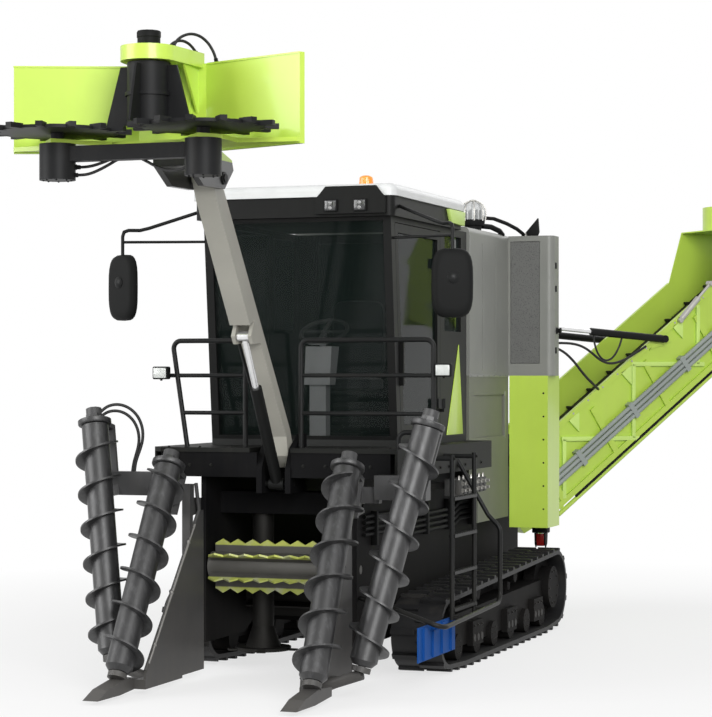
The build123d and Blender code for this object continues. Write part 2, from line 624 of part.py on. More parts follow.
clip_x0, clip_x1 = -130, -20
clip = block(clip_x0, clip_x1, disc_y + 50, disc_y + 100, floor_low - 115, floor_low - 60)
motor_cap = post(0, drum_y, 75, bracket_top, bracket_top + 105)
motor_pair = motor + mirrored(motor) + cross_tube + clip
topper_motors = group(motor_pair, motor_cap)
disc = post(disc_x, disc_y, 400, disc_z, disc_z + 20) + post(disc_x, disc_y, 110, disc_z, disc_z + 55)
for i in range(14):
    finger = Pos(430, 0, 10) * Box(120, 46, 34)
    disc += Pos(disc_x, disc_y, disc_z + 5) * Rot(0, 0, 360 / 14 * i) * finger
disc += post(disc_x, disc_y, 45, floor_low - 95, disc_z)
drum = post(0, drum_y, drum_r, drum_low, drum_high) + post(0, drum_y, 40, drum_high, bracket_top - 5)
vane_line = [(-205, drum_high - 20), (205, drum_high - 20), (310, drum_low), (-310, drum_low)]
vane = front_plate(vane_line, -8, 8)
for i in (0, 1):
    drum += Pos(0, drum_y, 0) * Rot(0, 0, 90 * i) * vane
band_low = drum_low + drum_tall * 0.46
drum += post(0, drum_y, drum_r + 14, band_low, band_low + 25)


def hose(points, radius):
    """A hose: straight runs joined by arcs as large as the runs allow."""
    knots = [Vector(*p) for p in points]
    runs = [b - a for a, b in zip(knots, knots[1:])]
    bends = []
    for a, b in zip(runs, runs[1:]):
        half_turn = radians(a.get_angle(b)) / 2
        bends.append(0.45 * min(a.length, b.length) / tan(half_turn))
    print("hose bends", [round(bend) for bend in bends])
    path = FilletPolyline(*points, radius=bends)
    return sweep(Plane(origin=path @ 0, z_dir=path % 0) * Circle(radius), path=path)


def arched(start, heading, outline):
    """Points of a hose in an upright plane: (distance along the heading, height) from its start."""
    ux, uy = unit(*heading)
    return [(start[0] + d * ux, start[1] + d * uy, start[2] + h) for d, h in outline]


# Topper hoses: two arches behind the drum's bracket, three that sag between the motors and the clip
high_arch = [(0, -12), (16, 28), (46, 68), (92, 97), (150, 112), (215, 100), (272, 62), (313, 6), (332, -42),
             (341, -80)]
low_arch = [(0, -12), (24, 20), (56, 46), (98, 64), (146, 70), (194, 61), (236, 38), (268, 10), (296, -22)]
motor_hoses = [
    [(-425, 20, -205), (-370, 28, -208), (-310, 44, -200), (-245, 62, -172), (-180, 79, -136), (-125, 86, -104),
     (-70, 88, -88)],
    [(425, 20, -170), (370, 28, -188), (305, 40, -196), (235, 52, -190), (165, 62, -165), (100, 70, -132),
     (45, 74, -103), (-10, 76, -86), (-60, 77, -78)],
    [(-425, 56, -150), (-370, 59, -153), (-305, 61, -147), (-240, 60, -131), (-175, 58, -110), (-120, 57, -92),
     (-70, 56, -82)],
]
topper_hoses = [hose(arched((120, drum_y + 110, bracket_top), (212, 267), high_arch), hose_r) - head,
                hose(arched((85, drum_y + 110, bracket_top), (95, 245), low_arch), hose_r) - head]
for route in motor_hoses:
    tube = hose([(x, disc_y + y, floor_low + z) for x, y, z in route], hose_r)
    topper_hoses.append(tube - motor_pair)

nodes.update({
    "topper_arm": arm,
    "topper_barrel": topper_barrel,
    "topper_rod": topper_rod,
    "topper_link": topper_link,
    "topper_head": head,
    "topper_motors": topper_motors,
    "topper_hoses": group(*topper_hoses),
    "left_gather_disc": disc,
    "right_gather_disc": mirrored(disc),
    "topper_drum": drum,
})


# Crop dividers: each scroll is modelled on its own axis, then laid on its line
def on_line(low, top):
    """The plane at a line's low end, its x axis as far to the rear as it can point."""
    run = (Vector(top) - Vector(low)).normalized()
    rear = (Vector(0, 1, 0) - run * run.Y).normalized()
    return Plane(origin=low, x_dir=rear, z_dir=run), (Vector(top) - Vector(low)).length


def scroll(low, top, left_hand):
    """A tube with a helical flight and a bore at each end for its shaft."""
    plane, long = on_line(low, top)
    up = (Align.CENTER, Align.CENTER, Align.MIN)
    tube = Pos(0, 0, 40) * Cylinder(scroll_r, long - 40, align=up)
    tube += Cone(70, scroll_r, 40, align=up)
    path = Pos(0, 0, 70) * Helix(flight_pitch, long - 150, (scroll_r + flight_r) / 2, lefthand=left_hand)
    section = Plane(origin=path @ 0, x_dir=(1, 0, 0), z_dir=path % 0)
    flight = sweep(section * Rectangle(flight_r - scroll_r + 6, flight_thick), path=path, is_frenet=True)
    whole = tube + flight
    whole -= Cylinder(30.3, 60, align=up) + Pos(0, 0, long - 60) * Cylinder(30.3, 60, align=up)
    return plane * whole


def scroll_seat(low, top, reach):
    """The flange, shaft and motor at a scroll's top, the rear post, and the pin at its foot."""
    plane, long = on_line(low, top)
    up = (Align.CENTER, Align.CENTER, Align.MIN)
    seat_top = Pos(0, 0, long + 6) * Cylinder(120, 40, align=up)
    seat_top += Pos(0, 0, long + 46) * Cylinder(60, 90, align=up)
    seat_top += Pos(0, 0, long - 50) * Cylinder(30, 60, align=up)
    seat_top += Pos(105, 0, long + 26) * Box(240, 120, 40)
    seat_top += Pos(212, 0, long + 46 - reach / 2) * Box(26, 120, reach)
    foot = Pos(0, 0, -6) * Cylinder(30, 56, align=up)
    foot += Pos(0, 0, -46) * Cylinder(70, 40, align=up)
    return plane * seat_top, plane * foot


inner_seat, inner_foot = scroll_seat(inner_low, inner_top, 330)
outer_seat, outer_foot = scroll_seat(outer_low, outer_top, 560)
wall_line = [(-1660, 60), (-1640, 170), (-665, 1290), (-600, 1290), (-590, 60)]
divider = side_plate(wall_line, side_in, side_in + 20)
divider += block(side_in, 665, -860, -800, 900, 1500)
divider += side_plate([(-860, 1230), (-860, 1400), (-440, 1375), (-440, 1285)], 646, 665)
divider -= cross_bar(hinge_y, hinge_z, 25.3, 640, 670)
divider += block(side_in, 920, -840, -780, 1380, 1500)
divider += block(900, 1300, -900, -780, 1410, 1590)
shoe_line = [(-2265, 30), (-1900, 25), (-1560, 45), (-1560, 110), (-1800, 130), (-2100, 90)]
shoe = side_plate(shoe_line, 690, 810)
shoe += side_plate([(-1660, 40), (-1000, 40), (-1000, 110), (-1660, 110)], side_in, 690)
divider += shoe + inner_foot + inner_seat + outer_seat + outer_foot
divider += bar((690, -1420, 90), tuple(Vector(outer_low) - Vector(0, 0, 60)), 40)
edge_x, edge_r = side_in + 10, 15
divider += bar((edge_x, -1640, 170), (edge_x, -665, 1290), edge_r)
divider += bar((edge_x, -665, 1290), (edge_x, -722, 1500), edge_r)
stiffener = [(-1560, 200), (-1180, 640), (-1080, 640), (-1080, 560), (-1440, 150)]
divider += side_plate(stiffener, side_in + 20, side_in + 34)
hose_outlines = (
    ((1318, -963, 2035), [(0, 0), (40, 42), (98, 70), (168, 72), (233, 46), (288, -2), (323, -64), (340, -134),
                          (338, -206), (318, -276), (293, -342), (280, -392), (274, -450)]),
    ((1327, -944, 1998), [(0, 0), (40, 38), (96, 60), (160, 58), (218, 32), (266, -14), (296, -72), (310, -136),
                          (308, -201), (292, -263), (274, -322), (264, -370), (259, -415)]),
)
divider_hoses = []
for start, outline in hose_outlines:
    divider_hoses.append(mirrored(hose(arched(start, (-0.85, 0.5), outline), divider_hose_r) - divider))

inner_scroll = scroll(inner_low, inner_top, False)
outer_scroll = scroll(outer_low, outer_top, True)

# Rollers and base cutters
knock = cross_bar(knock_y, knock_z, 110, -585, 585) + cross_bar(knock_y, knock_z, 35, -638, 638)
for i in range(6):
    comb = [(-560, 100), (560, 100)]
    for k in range(9):
        x = 560 - 1120 * k / 9
        comb += [(x, 175), (x - 62, knock_r)]
    comb += [(-560, 175)]
    paddle = extrude(Plane.XZ * make_face(Polyline(*comb, close=True)), amount=8, both=True)
    knock += Pos(0, knock_y, knock_z) * Rot(60 * i, 0, 0) * paddle
feed = cross_bar(lift_y, lift_z, 100, -585, 585) + cross_bar(lift_y, lift_z, 35, -638, 638)
for i in range(6):
    feed += Pos(0, lift_y, lift_z) * Rot(60 * i, 0, 0) * block(-570, 570, -8, 8, 90, lift_r)


def cutter(x):
    """A base cutter: shaft, flared leg, disc and blades, turning about an upright axis."""
    up = (Align.CENTER, Align.CENTER, Align.MIN)
    piece = Cylinder(220, 25, align=up) + Cylinder(45, 1410 - cutter_low, align=up)
    piece += Cone(150, 60, 260, align=up) + Pos(0, 0, 20) * Cylinder(85, 1244 - cutter_low - 20, align=up)
    for i in range(5):
        piece += Rot(0, 0, 72 * i) * Pos(240, 0, 8) * Box(80, 70, 12)
    return Pos(x, cutter_y, cutter_low) * piece


nodes.update({
    "left_divider": divider,
    "right_divider": mirrored(divider),
    "divider_hoses": group(*divider_hoses),
    "left_inner_scroll": inner_scroll,
    "right_inner_scroll": mirrored(inner_scroll),
    "left_outer_scroll": outer_scroll,
    "right_outer_scroll": mirrored(outer_scroll),
    "knockdown_roller": knock,
    "lift_roller": feed,
    "left_base_cutter": cutter(cutter_x),
    "right_base_cutter": cutter(-cutter_x),
})

# Elevator, modelled along +X from the slew axis, then turned and moved to it
to_slew = Pos(0, slew_y, 0) * Rot(0, 0, 90 - elevator_yaw)


def profile(points, y0, y1):
    """An outline (t, z) of the elevator's plane with its width from y0 to y1."""
    return front_plate(points, y0, y1)


def low_z(t):
    """Height of the wall's lower edge."""
    return low_edge + run_rise * t


wall_in_e = wall_half - wall_thick
wall_outline = [(230, 900), (330, 790), (560, low_z(560)), (3100, low_z(3100)), (end_t, 2960),
                (end_t, 3640), (3480, 3850), (2760, 3850), (head_t, low_z(head_t) + wall_tall),
                (600, low_z(600) + wall_tall), (330, 1480), (230, 1300)]
wall = profile(wall_outline, wall_in_e, wall_half)
for t in (760, 1370, 1980, 2590):
    rib = [(t, low_z(t)), (t + 50, low_z(t + 50)), (t - 250, low_z(t - 250) + 700),
           (t - 300, low_z(t - 300) + 700)]
    wall += profile(rib, wall_half, wall_half + 28)
edge = [(600, low_z(600) + wall_tall - 70), (head_t, low_z(head_t) + wall_tall - 70),
        (head_t, low_z(head_t) + wall_tall), (600, low_z(600) + wall_tall)]
wall += profile(edge, wall_half, wall_half + 28)
chord = [(560, low_z(560)), (3100, low_z(3100)), (3100, low_z(3100) + 70), (560, low_z(560) + 70)]
wall += profile(chord, wall_half, wall_half + 28)
wall += bar((lift_t, wall_half, lift_pin_z), (lift_t, wall_half + 78, lift_pin_z), 30)
rail_drop, rail_tube = 62, 22
rail_t0, rail_t1 = 720, 3010
wall += bar((rail_t0, wall_half - 6, low_z(rail_t0) - rail_drop),
            (rail_t1, wall_half - 6, low_z(rail_t1) - rail_drop), rail_tube)
stub_count = 6
for i in range(stub_count):
    t = rail_t0 + 40 + (rail_t1 - rail_t0 - 80) * i / (stub_count - 1)
    wall += profile([(t - 16, low_z(t) - rail_drop), (t + 16, low_z(t) - rail_drop), (t + 16, low_z(t) + 20),
                     (t - 16, low_z(t) + 20)], wall_in_e, wall_half)
ear_line = [(top_eye_t - 130, top_eye_z - 110), (top_eye_t + 130, top_eye_z - 20),
            (top_eye_t + 40, top_eye_z + 60), (top_eye_t - 40, top_eye_z + 60)]
wall += profile(ear_line, wall_half, wall_half + 24)
flap_hinge = (end_t + 24, 3600)
flap_pin = 10
wall += profile([(end_t, 3550), (end_t + 48, 3575), (end_t + 48, 3625), (end_t, 3640)], wall_in_e, wall_half)
flap_t, flap_z = flap_hinge
wall -= bar((flap_t, wall_in_e, flap_z), (flap_t, wall_half, flap_z), flap_pin + seat_gap)
far_wall = mirror(wall, about=Plane.XZ)
foot_c = (470, 1140)
head_c = (3230, 3230)
drum_rad = 130
chain_circles = [(*foot_c, drum_rad), (*head_c, drum_rad)]
chain_face, chain_rim = loop_face(chain_circles, 18)
slatted = chain_face + teeth(chain_rim, 26, 16, 35, 0)
chain = Pos(0, 415, 0) * extrude(Plane.XZ * slatted, amount=830)
tilt = atan2(head_c[1] - foot_c[1], head_c[0] - foot_c[0])


def on_run(s, n):
    """A point s along the chain's middle line and n above it."""
    return foot_c[0] + s * cos(tilt) - n * sin(tilt), foot_c[1] + s * sin(tilt) + n * cos(tilt)


run_long = hypot(head_c[0] - foot_c[0], head_c[1] - foot_c[1])
strip_in = drum_rad + 10
floor_strip = [on_run(strip_in, 60), on_run(run_long - strip_in, 60), on_run(run_long - strip_in, 72),
               on_run(strip_in, 72)]
tray = profile(floor_strip, -wall_in_e, wall_in_e)
rollers = []
for t, z in (foot_c, head_c):
    shaft = bar((t, -wall_in_e, z), (t, wall_in_e, z), 45)
    rollers.append(shaft + bar((t, -400, z), (t, 400, z), drum_rad - seat_gap))
under = [bar((t, -wall_in_e, low_z(t) + 25), (t, wall_in_e, low_z(t) + 25), 20) for t in (1100, 1900, 2700)]
boot = profile([(240, 900), (330, 802), (560, low_z(560) + 12), (900, low_z(900) + 12), (900, low_z(900)),
                (560, low_z(560)), (330, 790), (230, 900)], -wall_in_e, wall_in_e)
boot += profile([(230, 900), (240, 900), (240, 1300), (230, 1300)], -wall_in_e, wall_in_e)
ring_t, ring_r, ring_tall = 3110, 320, 230
roof_z, roof_sheet = 3850, 12
top_plate = profile([(2760, roof_z - roof_sheet), (3480, roof_z - roof_sheet), (3480, roof_z), (2760, roof_z)],
                    -wall_in_e, wall_in_e)
top_plate -= post(ring_t, 0, ring_r - 20, roof_z - roof_sheet, roof_z)
ring = post(ring_t, 0, ring_r, roof_z, roof_z + ring_tall)
ring -= post(ring_t, 0, ring_r - 20, roof_z, roof_z + ring_tall)
ring += post(ring_t, 0, ring_r, roof_z + ring_tall, roof_z + ring_tall + roof_sheet)
ring -= block(ring_t, ring_t + ring_r + 20, -220, 220, roof_z + 50, roof_z + ring_tall - 20)
top_plate += ring

mast = post(0, 0, 110, 926, 2914) + post(0, 0, 60, 810, 926) + post(0, 0, 60, 2914, 3015)
yoke_out = wall_half + 78
ram_pin = 20
yoke = block(-110, 130, -yoke_out, yoke_out, 930, 1040) - block(112, 131, -1000, 1000, 0, 3000)
for y in (-1, 1):
    y0, y1 = sorted((y * (wall_half + 50), y * yoke_out))
    cheek_e = profile([(-110, 930), (lift_t, 930), (lift_t + 60, 960), (lift_t + 60, 1040), (lift_t, 1080),
                       (-110, 1040)], y0, y1)
    cheek_e -= bar((lift_t, y0, lift_pin_z), (lift_t, y1, lift_pin_z), 30.3)
    yoke += cheek_e
    mast += block(-60, 60, min(0, y * 440), max(0, y * 440), 2790, 2890)
    ear = [(-60, 2790), (ear_t, ear_z - 50), (ear_t + 50, ear_z), (ear_t, ear_z + 50), (-60, 2890)]
    for a, b in ((440, 470), (570, 600)):
        y2, y3 = sorted((y * a, y * b))
        mast += profile(ear, y2, y3)
    y2, y3 = sorted((y * 470, y * 570))
    mast += block(-60, 20, y2, y3, 2790, 2890)
    mast += bar((ear_t, y2, ear_z), (ear_t, y3, ear_z), ram_pin)
mast += yoke
arm_y = 520
ram_run = unit(top_eye_t - ear_t, top_eye_z - ear_z)
ram_long = hypot(top_eye_t - ear_t, top_eye_z - ear_z)


def on_ram(d, y):
    """A point d along an elevator lift cylinder."""
    return (ear_t + d * ram_run[0], y, ear_z + d * ram_run[1])


ram_mouth, ram_blind, rod_in = ram_long - 860, ram_long - 70, 470
ram_r, ram_rod_r = 37, 22
barrels, rods = [], []
for y in (-arm_y, arm_y):
    barrel = bar(on_ram(ram_mouth, y), on_ram(ram_long - 20, y), ram_r)
    barrel -= bar(on_ram(ram_mouth, y), on_ram(ram_blind, y), ram_rod_r + seat_gap)
    barrel += bar((top_eye_t, y - ram_r, top_eye_z), (top_eye_t, y + ram_r, top_eye_z), ram_r)
    barrels.append(barrel)
    rod = bar(on_ram(20, y), on_ram(ram_mouth + rod_in, y), ram_rod_r)
    rod += bar((ear_t, y - 45, ear_z), (ear_t, y + 45, ear_z), ram_r)
    rod -= bar((ear_t, y - 45, ear_z), (ear_t, y + 45, ear_z), ram_pin + seat_gap)
    rods.append(rod)


# Three pipes on the wall that faces the front, in clamps between the ribs
pipe_r, pipe_rise, pipe_off = 21, 330, 55
pipe_t0, pipe_t1 = 640, 3040
clamp_half, clamp_tall, clamp_out = 26, 84, 78
slope = hypot(1, run_rise)
along_t, along_z = 1 / slope, run_rise / slope


def on_bundle(t, ahead, aside):
    """A point of the pipe bundle at t, then ahead along it and aside across it."""
    return t + ahead * along_t - aside * along_z, low_z(t) + pipe_rise + ahead * along_z + aside * along_t


pipes = None
for t in (940, 1550, 2160, 2780):
    corners = [on_bundle(t, a * clamp_half, b * clamp_tall) for a, b in ((-1, -1), (1, -1), (1, 1), (-1, 1))]
    clamp = profile(corners, -wall_half - clamp_out, -wall_half)
    pipes = clamp if pipes is None else pipes + clamp
for k in (-1, 0, 1):
    (t0, z0), (t1, z1) = [on_bundle(t, 0, k * (2 * pipe_r + 6)) for t in (pipe_t0, pipe_t1)]
    pipes += bar((t0, -wall_half - pipe_off, z0), (t1, -wall_half - pipe_off, z1), pipe_r)
flap = profile([(end_t + 12, 3600), (end_t + 36, 3600), (end_t + 200, 2900), (end_t + 188, 2896)], -420, 420)
for half, radius in ((wall_in_e - 5, 16), (wall_half - 2, flap_pin)):
    flap += bar((flap_hinge[0], -half, flap_hinge[1]), (flap_hinge[0], half, flap_hinge[1]), radius)


def placed(shape):
    """An elevator piece in the machine's frame."""
    return to_slew * shape


nodes.update({
    "elevator_mast": placed(mast),
    "elevator_walls": group(placed(wall), placed(far_wall)),
    "elevator_tray": group(placed(tray), *[placed(s) for s in rollers + under], placed(boot)),
    "elevator_chain": placed(chain),
    "elevator_pipes": placed(pipes),
    "elevator_top": placed(top_plate),
    "elevator_flap": placed(flap),
    "elevator_barrels": group(*[placed(s) for s in barrels]),
    "elevator_rods": group(*[placed(s) for s in rods]),
})

if __name__ == "__main__":
    os.makedirs("parts", exist_ok=True)
    for name, shape in nodes.items():
        export_step(Pos(-box_mid_x, -box_mid_y, 0) * shape, f"parts/{name}.step")
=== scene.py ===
"""Finishes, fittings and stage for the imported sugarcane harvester.

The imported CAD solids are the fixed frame. Each operator below dresses them or adds one group of
fittings. Lengths in the tables are millimetres of the machine's own frame: +X its left, -Y its
front, Y = 0 the cab's front face, Z = 0 the ground. The stage and the shaders' planes are in metres
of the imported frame.
"""
import json
import math

import bmesh
import bpy
from bpy.props import FloatProperty, FloatVectorProperty, PointerProperty
from mathutils import Matrix, Vector


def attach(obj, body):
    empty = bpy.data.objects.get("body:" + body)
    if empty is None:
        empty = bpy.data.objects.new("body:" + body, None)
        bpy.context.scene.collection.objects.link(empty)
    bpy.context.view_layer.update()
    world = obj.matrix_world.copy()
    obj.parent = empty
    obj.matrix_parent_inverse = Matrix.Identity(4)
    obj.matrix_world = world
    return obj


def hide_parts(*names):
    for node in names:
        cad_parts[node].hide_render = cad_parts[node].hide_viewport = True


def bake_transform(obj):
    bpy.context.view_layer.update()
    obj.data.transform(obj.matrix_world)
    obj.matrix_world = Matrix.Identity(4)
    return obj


bl_info = {
    "name": "Sugarcane harvester",
    "version": (1, 0, 0),
    "blender": (4, 5, 0),
    "location": "View3D > Sidebar > Harvester",
    "description": "Dresses the packed cane harvester with finishes, fittings and a studio",
    "category": "Object",
}

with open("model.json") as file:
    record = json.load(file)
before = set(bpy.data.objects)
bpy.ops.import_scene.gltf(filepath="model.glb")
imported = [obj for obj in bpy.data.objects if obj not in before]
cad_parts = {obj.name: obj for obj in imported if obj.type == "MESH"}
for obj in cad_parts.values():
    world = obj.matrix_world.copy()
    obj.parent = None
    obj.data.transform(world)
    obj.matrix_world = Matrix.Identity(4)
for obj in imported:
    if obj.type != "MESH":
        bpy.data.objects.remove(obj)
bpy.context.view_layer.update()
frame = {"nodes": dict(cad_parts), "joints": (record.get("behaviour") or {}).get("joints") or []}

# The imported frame's origin in the machine's own frame, in millimetres
ORIGIN = Vector((767.5, 2036.0, 0.0))
MM = 0.001
SLEW_Y = 4700.0
ELEVATOR = Matrix.Translation((0.0, SLEW_Y, 0.0)) @ Matrix.Rotation(math.radians(45.0), 4, "Z")
MACHINE = Matrix.Identity(4)
SIDES = (1, -1)
UP = (0, 0, 1)
DOWN = (0, 0, -1)
FORWARD = (0, -1, 0)
FINISH = {}

# The topper's places: its boom's foot and head, its discs, drum and head plates
BOOM_TILT = math.radians(53.6)
BOOM_FOOT = Vector((0.0, -460.0, 1700.0))
BOOM_RUN = Vector((0.0, -math.cos(BOOM_TILT), math.sin(BOOM_TILT)))
BOOM_BACK = Vector((0.0, BOOM_RUN.z, -BOOM_RUN.y))
BOOM_LONG = 2510.0
BOOM_HEAD = BOOM_FOOT + BOOM_RUN * BOOM_LONG
DISC_X = 525.0
DISC_Y = BOOM_HEAD.y - 1250.0
DRUM_Y = BOOM_HEAD.y - 950.0
FLOOR_LOW = BOOM_HEAD.z + 140.0
MOTOR_LOW = FLOOR_LOW - 240.0
BRACKET_TOP = BOOM_HEAD.z + 800.0
WING_TOP = BOOM_HEAD.z + 730.0

# Colours that the finishes share, in linear light
WHITE = (1.0, 1.0, 1.0, 1.0)
FIELD_DUST = (0.23, 0.2, 0.155, 1.0)
TRACK_DUST = (0.1, 0.09, 0.075, 1.0)
# Near black for the cooling screen's holes: painted shade behind them.
HOLE_PAINTED_SHADE = (0.012, 0.012, 0.012, 1.0)
WORN_TIP = (0.5, 0.5, 0.46, 1.0)


class Value:
    """A socket whose arithmetic adds Math nodes."""

    def __init__(self, net, socket):
        self.net = net
        self.socket = socket

    def math(self, operation, first, second):
        return self.net.node("ShaderNodeMath", {"operation": operation}, {0: first, 1: second})

    def __add__(self, other):
        return self.math("ADD", self, other)

    def __radd__(self, other):
        return self.math("ADD", other, self)

    def __sub__(self, other):
        return self.math("SUBTRACT", self, other)

    def __rsub__(self, other):
        return self.math("SUBTRACT", other, self)

    def __mul__(self, other):
        return self.math("MULTIPLY", self, other)

    def __rmul__(self, other):
        return self.math("MULTIPLY", other, self)


class Net:
    """A node tree, with one method that adds any node."""

    def __init__(self, tree):
        self.tree = tree
        tree.nodes.clear()

    def node(self, kind, settings=None, inputs=None, out=0):
        made = self.tree.nodes.new(kind)
        for key, value in (settings or {}).items():
            setattr(made, key, value)
        for key, value in (inputs or {}).items():
            if isinstance(value, Value):
                self.tree.links.new(value.socket, made.inputs[key])
            else:
                made.inputs[key].default_value = value
        return Value(self, made.outputs[out])

    def place(self):
        return self.node("ShaderNodeTexCoord", out="Object")

    def axis(self, vector, name):
        return self.node("ShaderNodeSeparateXYZ", {}, {0: vector}, out=name)

    def stretch(self, vector, scale):
        return self.node("ShaderNodeVectorMath", {"operation": "MULTIPLY"}, {0: vector, 1: scale})

    def noise(self, vector, scale, detail, rough=0.55):
        sockets = {"Vector": vector, "Scale": scale, "Detail": detail, "Roughness": rough}
        return self.node("ShaderNodeTexNoise", {}, sockets)

    def bands(self, vector, scale, direction):
        settings = {"bands_direction": direction}
        return self.node("ShaderNodeTexWave", settings, {"Vector": vector, "Scale": scale})

    def cells(self, vector, scale):
        return self.node("ShaderNodeTexVoronoi", {}, {"Vector": vector, "Scale": scale})

    def ramp(self, value, low, high):
        """0 at low, 1 at high and held past both; low may be the larger."""
        return self.node("ShaderNodeMapRange", {"clamp": True}, {0: value, 1: low, 2: high, 3: 0.0, 4: 1.0})

    def mix(self, factor, first, second):
        return self.node("ShaderNodeMix", {"data_type": "RGBA"}, {0: factor, 6: first, 7: second}, out=2)

    def drift(self, factor, colour, dim, lit):
        """A colour that wanders with the factor between two gains of itself."""
        return self.mix(factor, rgba(colour, dim), rgba(colour, lit))

    def bump(self, height, strength, distance):
        return self.node("ShaderNodeBump", {}, {"Height": height, "Strength": strength, "Distance": distance})

    def seen(self):
        """1 for rays that show the studio: from the camera, off gloss or through glass."""
        camera, gloss, glass = (self.node("ShaderNodeLightPath", out=f"Is {ray} Ray")
                                for ray in ("Camera", "Glossy", "Transmission"))
        return self.node("ShaderNodeMath", {"operation": "MINIMUM"}, {0: camera + gloss + glass, 1: 1.0})


class Finish(Net):
    """A material round one principled shader."""

    def __init__(self, name):
        self.material = bpy.data.materials.new(name)
        self.material.use_nodes = True
        super().__init__(self.material.node_tree)
        self.out = self.tree.nodes.new("ShaderNodeOutputMaterial")

    def surface(self, **sockets):
        """The principled shader; underscores in the names stand for spaces."""
        named = {key.replace("_", " "): value for key, value in sockets.items()}
        shader = self.node("ShaderNodeBsdfPrincipled", {}, named)
        self.tree.links.new(shader.socket, self.out.inputs["Surface"])
        return self.material


def rgba(colour, gain=1.0):
    return tuple(min(1.0, c * gain) for c in colour[:3]) + (1.0,)


def paint(name, colour, rough, coat, dust, fade=0.12, peel=0.04, gloss=0.5, below=None):
    """Sprayed paint with slow colour drift, field dust low down and a faint orange peel.

    With below, a height and a colour, what lies under that height has the other colour: painted shade on the
    topper's head under its floor, a second paint on the console.
    """
    f = Finish(name)
    at = f.place()
    cloud = f.noise(at, 1.6, 5.0)
    streak = f.noise(f.stretch(at, (14.0, 14.0, 1.1)), 1.0, 4.0)
    fine = f.noise(at, 120.0, 2.0)
    low = f.ramp(f.axis(at, "Z"), 1.5, 0.0)
    film = f.ramp(cloud * 0.6 + streak * 0.4 + low * 0.35, 0.5, 0.95) * dust
    tone = f.drift(f.ramp(cloud, 0.3, 0.7), colour, 1.0 - fade, 1.0 + fade * 0.5)
    if below:
        height, other = below
        under = f.ramp(f.axis(at, "Z"), height + 0.003, height - 0.003)
        tone = f.mix(under, tone, f.drift(cloud, other, 0.8, 1.2))
    return f.surface(Base_Color=f.mix(film, tone, FIELD_DUST), Roughness=rough + film * 0.35 + fine * 0.06,
                     Specular_IOR_Level=gloss, Coat_Weight=coat, Coat_Roughness=0.12,
                     Normal=f.bump(fine, peel, 0.002))


def worn_paint(name, colour, bare, rough, wear, gloss):
    """Dark satin paint rubbed through to steel in streaks, as on parts that cane slides along."""
    f = Finish(name)
    at = f.place()
    cloud = f.noise(at, 2.4, 5.0)
    rub = f.noise(f.stretch(at, (9.0, 9.0, 2.0)), 3.0, 6.0, 0.65)
    fine = f.noise(at, 140.0, 2.0)
    scuff = f.ramp(rub + cloud * 0.25, 0.62, 0.86) * wear
    base = f.mix(scuff, f.drift(cloud, colour, 0.8, 1.25), rgba(bare))
    return f.surface(Base_Color=base, Roughness=rough + cloud * 0.12 - scuff * 0.08, Metallic=scuff * 0.6,
                     Specular_IOR_Level=gloss, Normal=f.bump(fine + rub * 0.6, 0.06, 0.002))


def steel(name, colour, rough, grain=(3.0, 60.0, 60.0)):
    """Bare steel with a drawn grain and dull patches."""
    f = Finish(name)
    at = f.place()
    draw = f.noise(f.stretch(at, grain), 4.0, 4.0)
    patch = f.noise(at, 5.0, 4.0)
    return f.surface(Base_Color=f.drift(patch, colour, 0.7, 1.15), Metallic=0.85,
                     Roughness=rough + patch * 0.2 + draw * 0.08, Normal=f.bump(draw, 0.05, 0.001))


def moulding(name, colour, rough, texture, scale=400.0, gloss=0.5):
    """Moulded plastic or rubber with a pebbled skin."""
    f = Finish(name)
    at = f.place()
    pebble = f.cells(at, scale)
    cloud = f.noise(at, 4.0, 4.0)
    return f.surface(Base_Color=f.drift(cloud, colour, 0.82, 1.16), Roughness=rough + cloud * 0.12,
                     Specular_IOR_Level=gloss, Normal=f.bump(pebble, texture, 0.001))


def tracked_rubber(name, colour):
    """Track rubber with a coarse skin, dusty in patches."""
    f = Finish(name)
    at = f.place()
    cloud = f.noise(at, 6.0, 5.0)
    fine = f.noise(at, 160.0, 3.0)
    dust = f.ramp(cloud, 0.52, 0.8) * 0.2
    return f.surface(Base_Color=f.mix(dust, rgba(colour), TRACK_DUST), Roughness=0.55 + dust * 0.3,
                     Specular_IOR_Level=0.3, Normal=f.bump(fine, 0.2, 0.002))


def glazing(name, colour, alpha, rough=0.03, gloss=0.35, painted_shade_planes=None):
    """Tinted safety glass with a faint film of dust.

    With the last argument, a plane in x and one in y, the panes past either plane are opaque in their tint:
    painted shade for the cab's dark inside.
    """
    f = Finish(name)
    at = f.place()
    film = f.ramp(f.noise(at, 3.0, 5.0), 0.5, 0.9)
    cover = alpha + film * 0.05
    if painted_shade_planes:
        # Past either plane the pane is made opaque: painted shade.
        side = f.ramp(f.axis(at, "X"), painted_shade_planes[0] + 0.005, painted_shade_planes[0] - 0.005)
        rear = f.ramp(f.axis(at, "Y"), painted_shade_planes[1] - 0.005, painted_shade_planes[1] + 0.005)
        cover = f.ramp(cover + (1 - (1 - side) * (1 - rear)), 0.0, 1.0)
    shade = f.surface(Base_Color=rgba(colour), Roughness=rough + film * 0.08, Alpha=cover,
                      Specular_IOR_Level=gloss)
    shade.surface_render_method = "BLENDED"
    return shade


def lens(name, colour, glow=0.0):
    """A moulded lamp lens with vertical flutes."""
    f = Finish(name)
    at = f.place()
    flutes = f.bands(at, 26.0, "X")
    cloud = f.noise(at, 30.0, 2.0)
    return f.surface(Base_Color=f.drift(cloud, colour, 0.85, 1.1), Roughness=0.12 + cloud * 0.06,
                     Coat_Weight=0.6, Emission_Color=rgba(colour), Emission_Strength=glow,
                     Normal=f.bump(flutes, 0.35, 0.003))


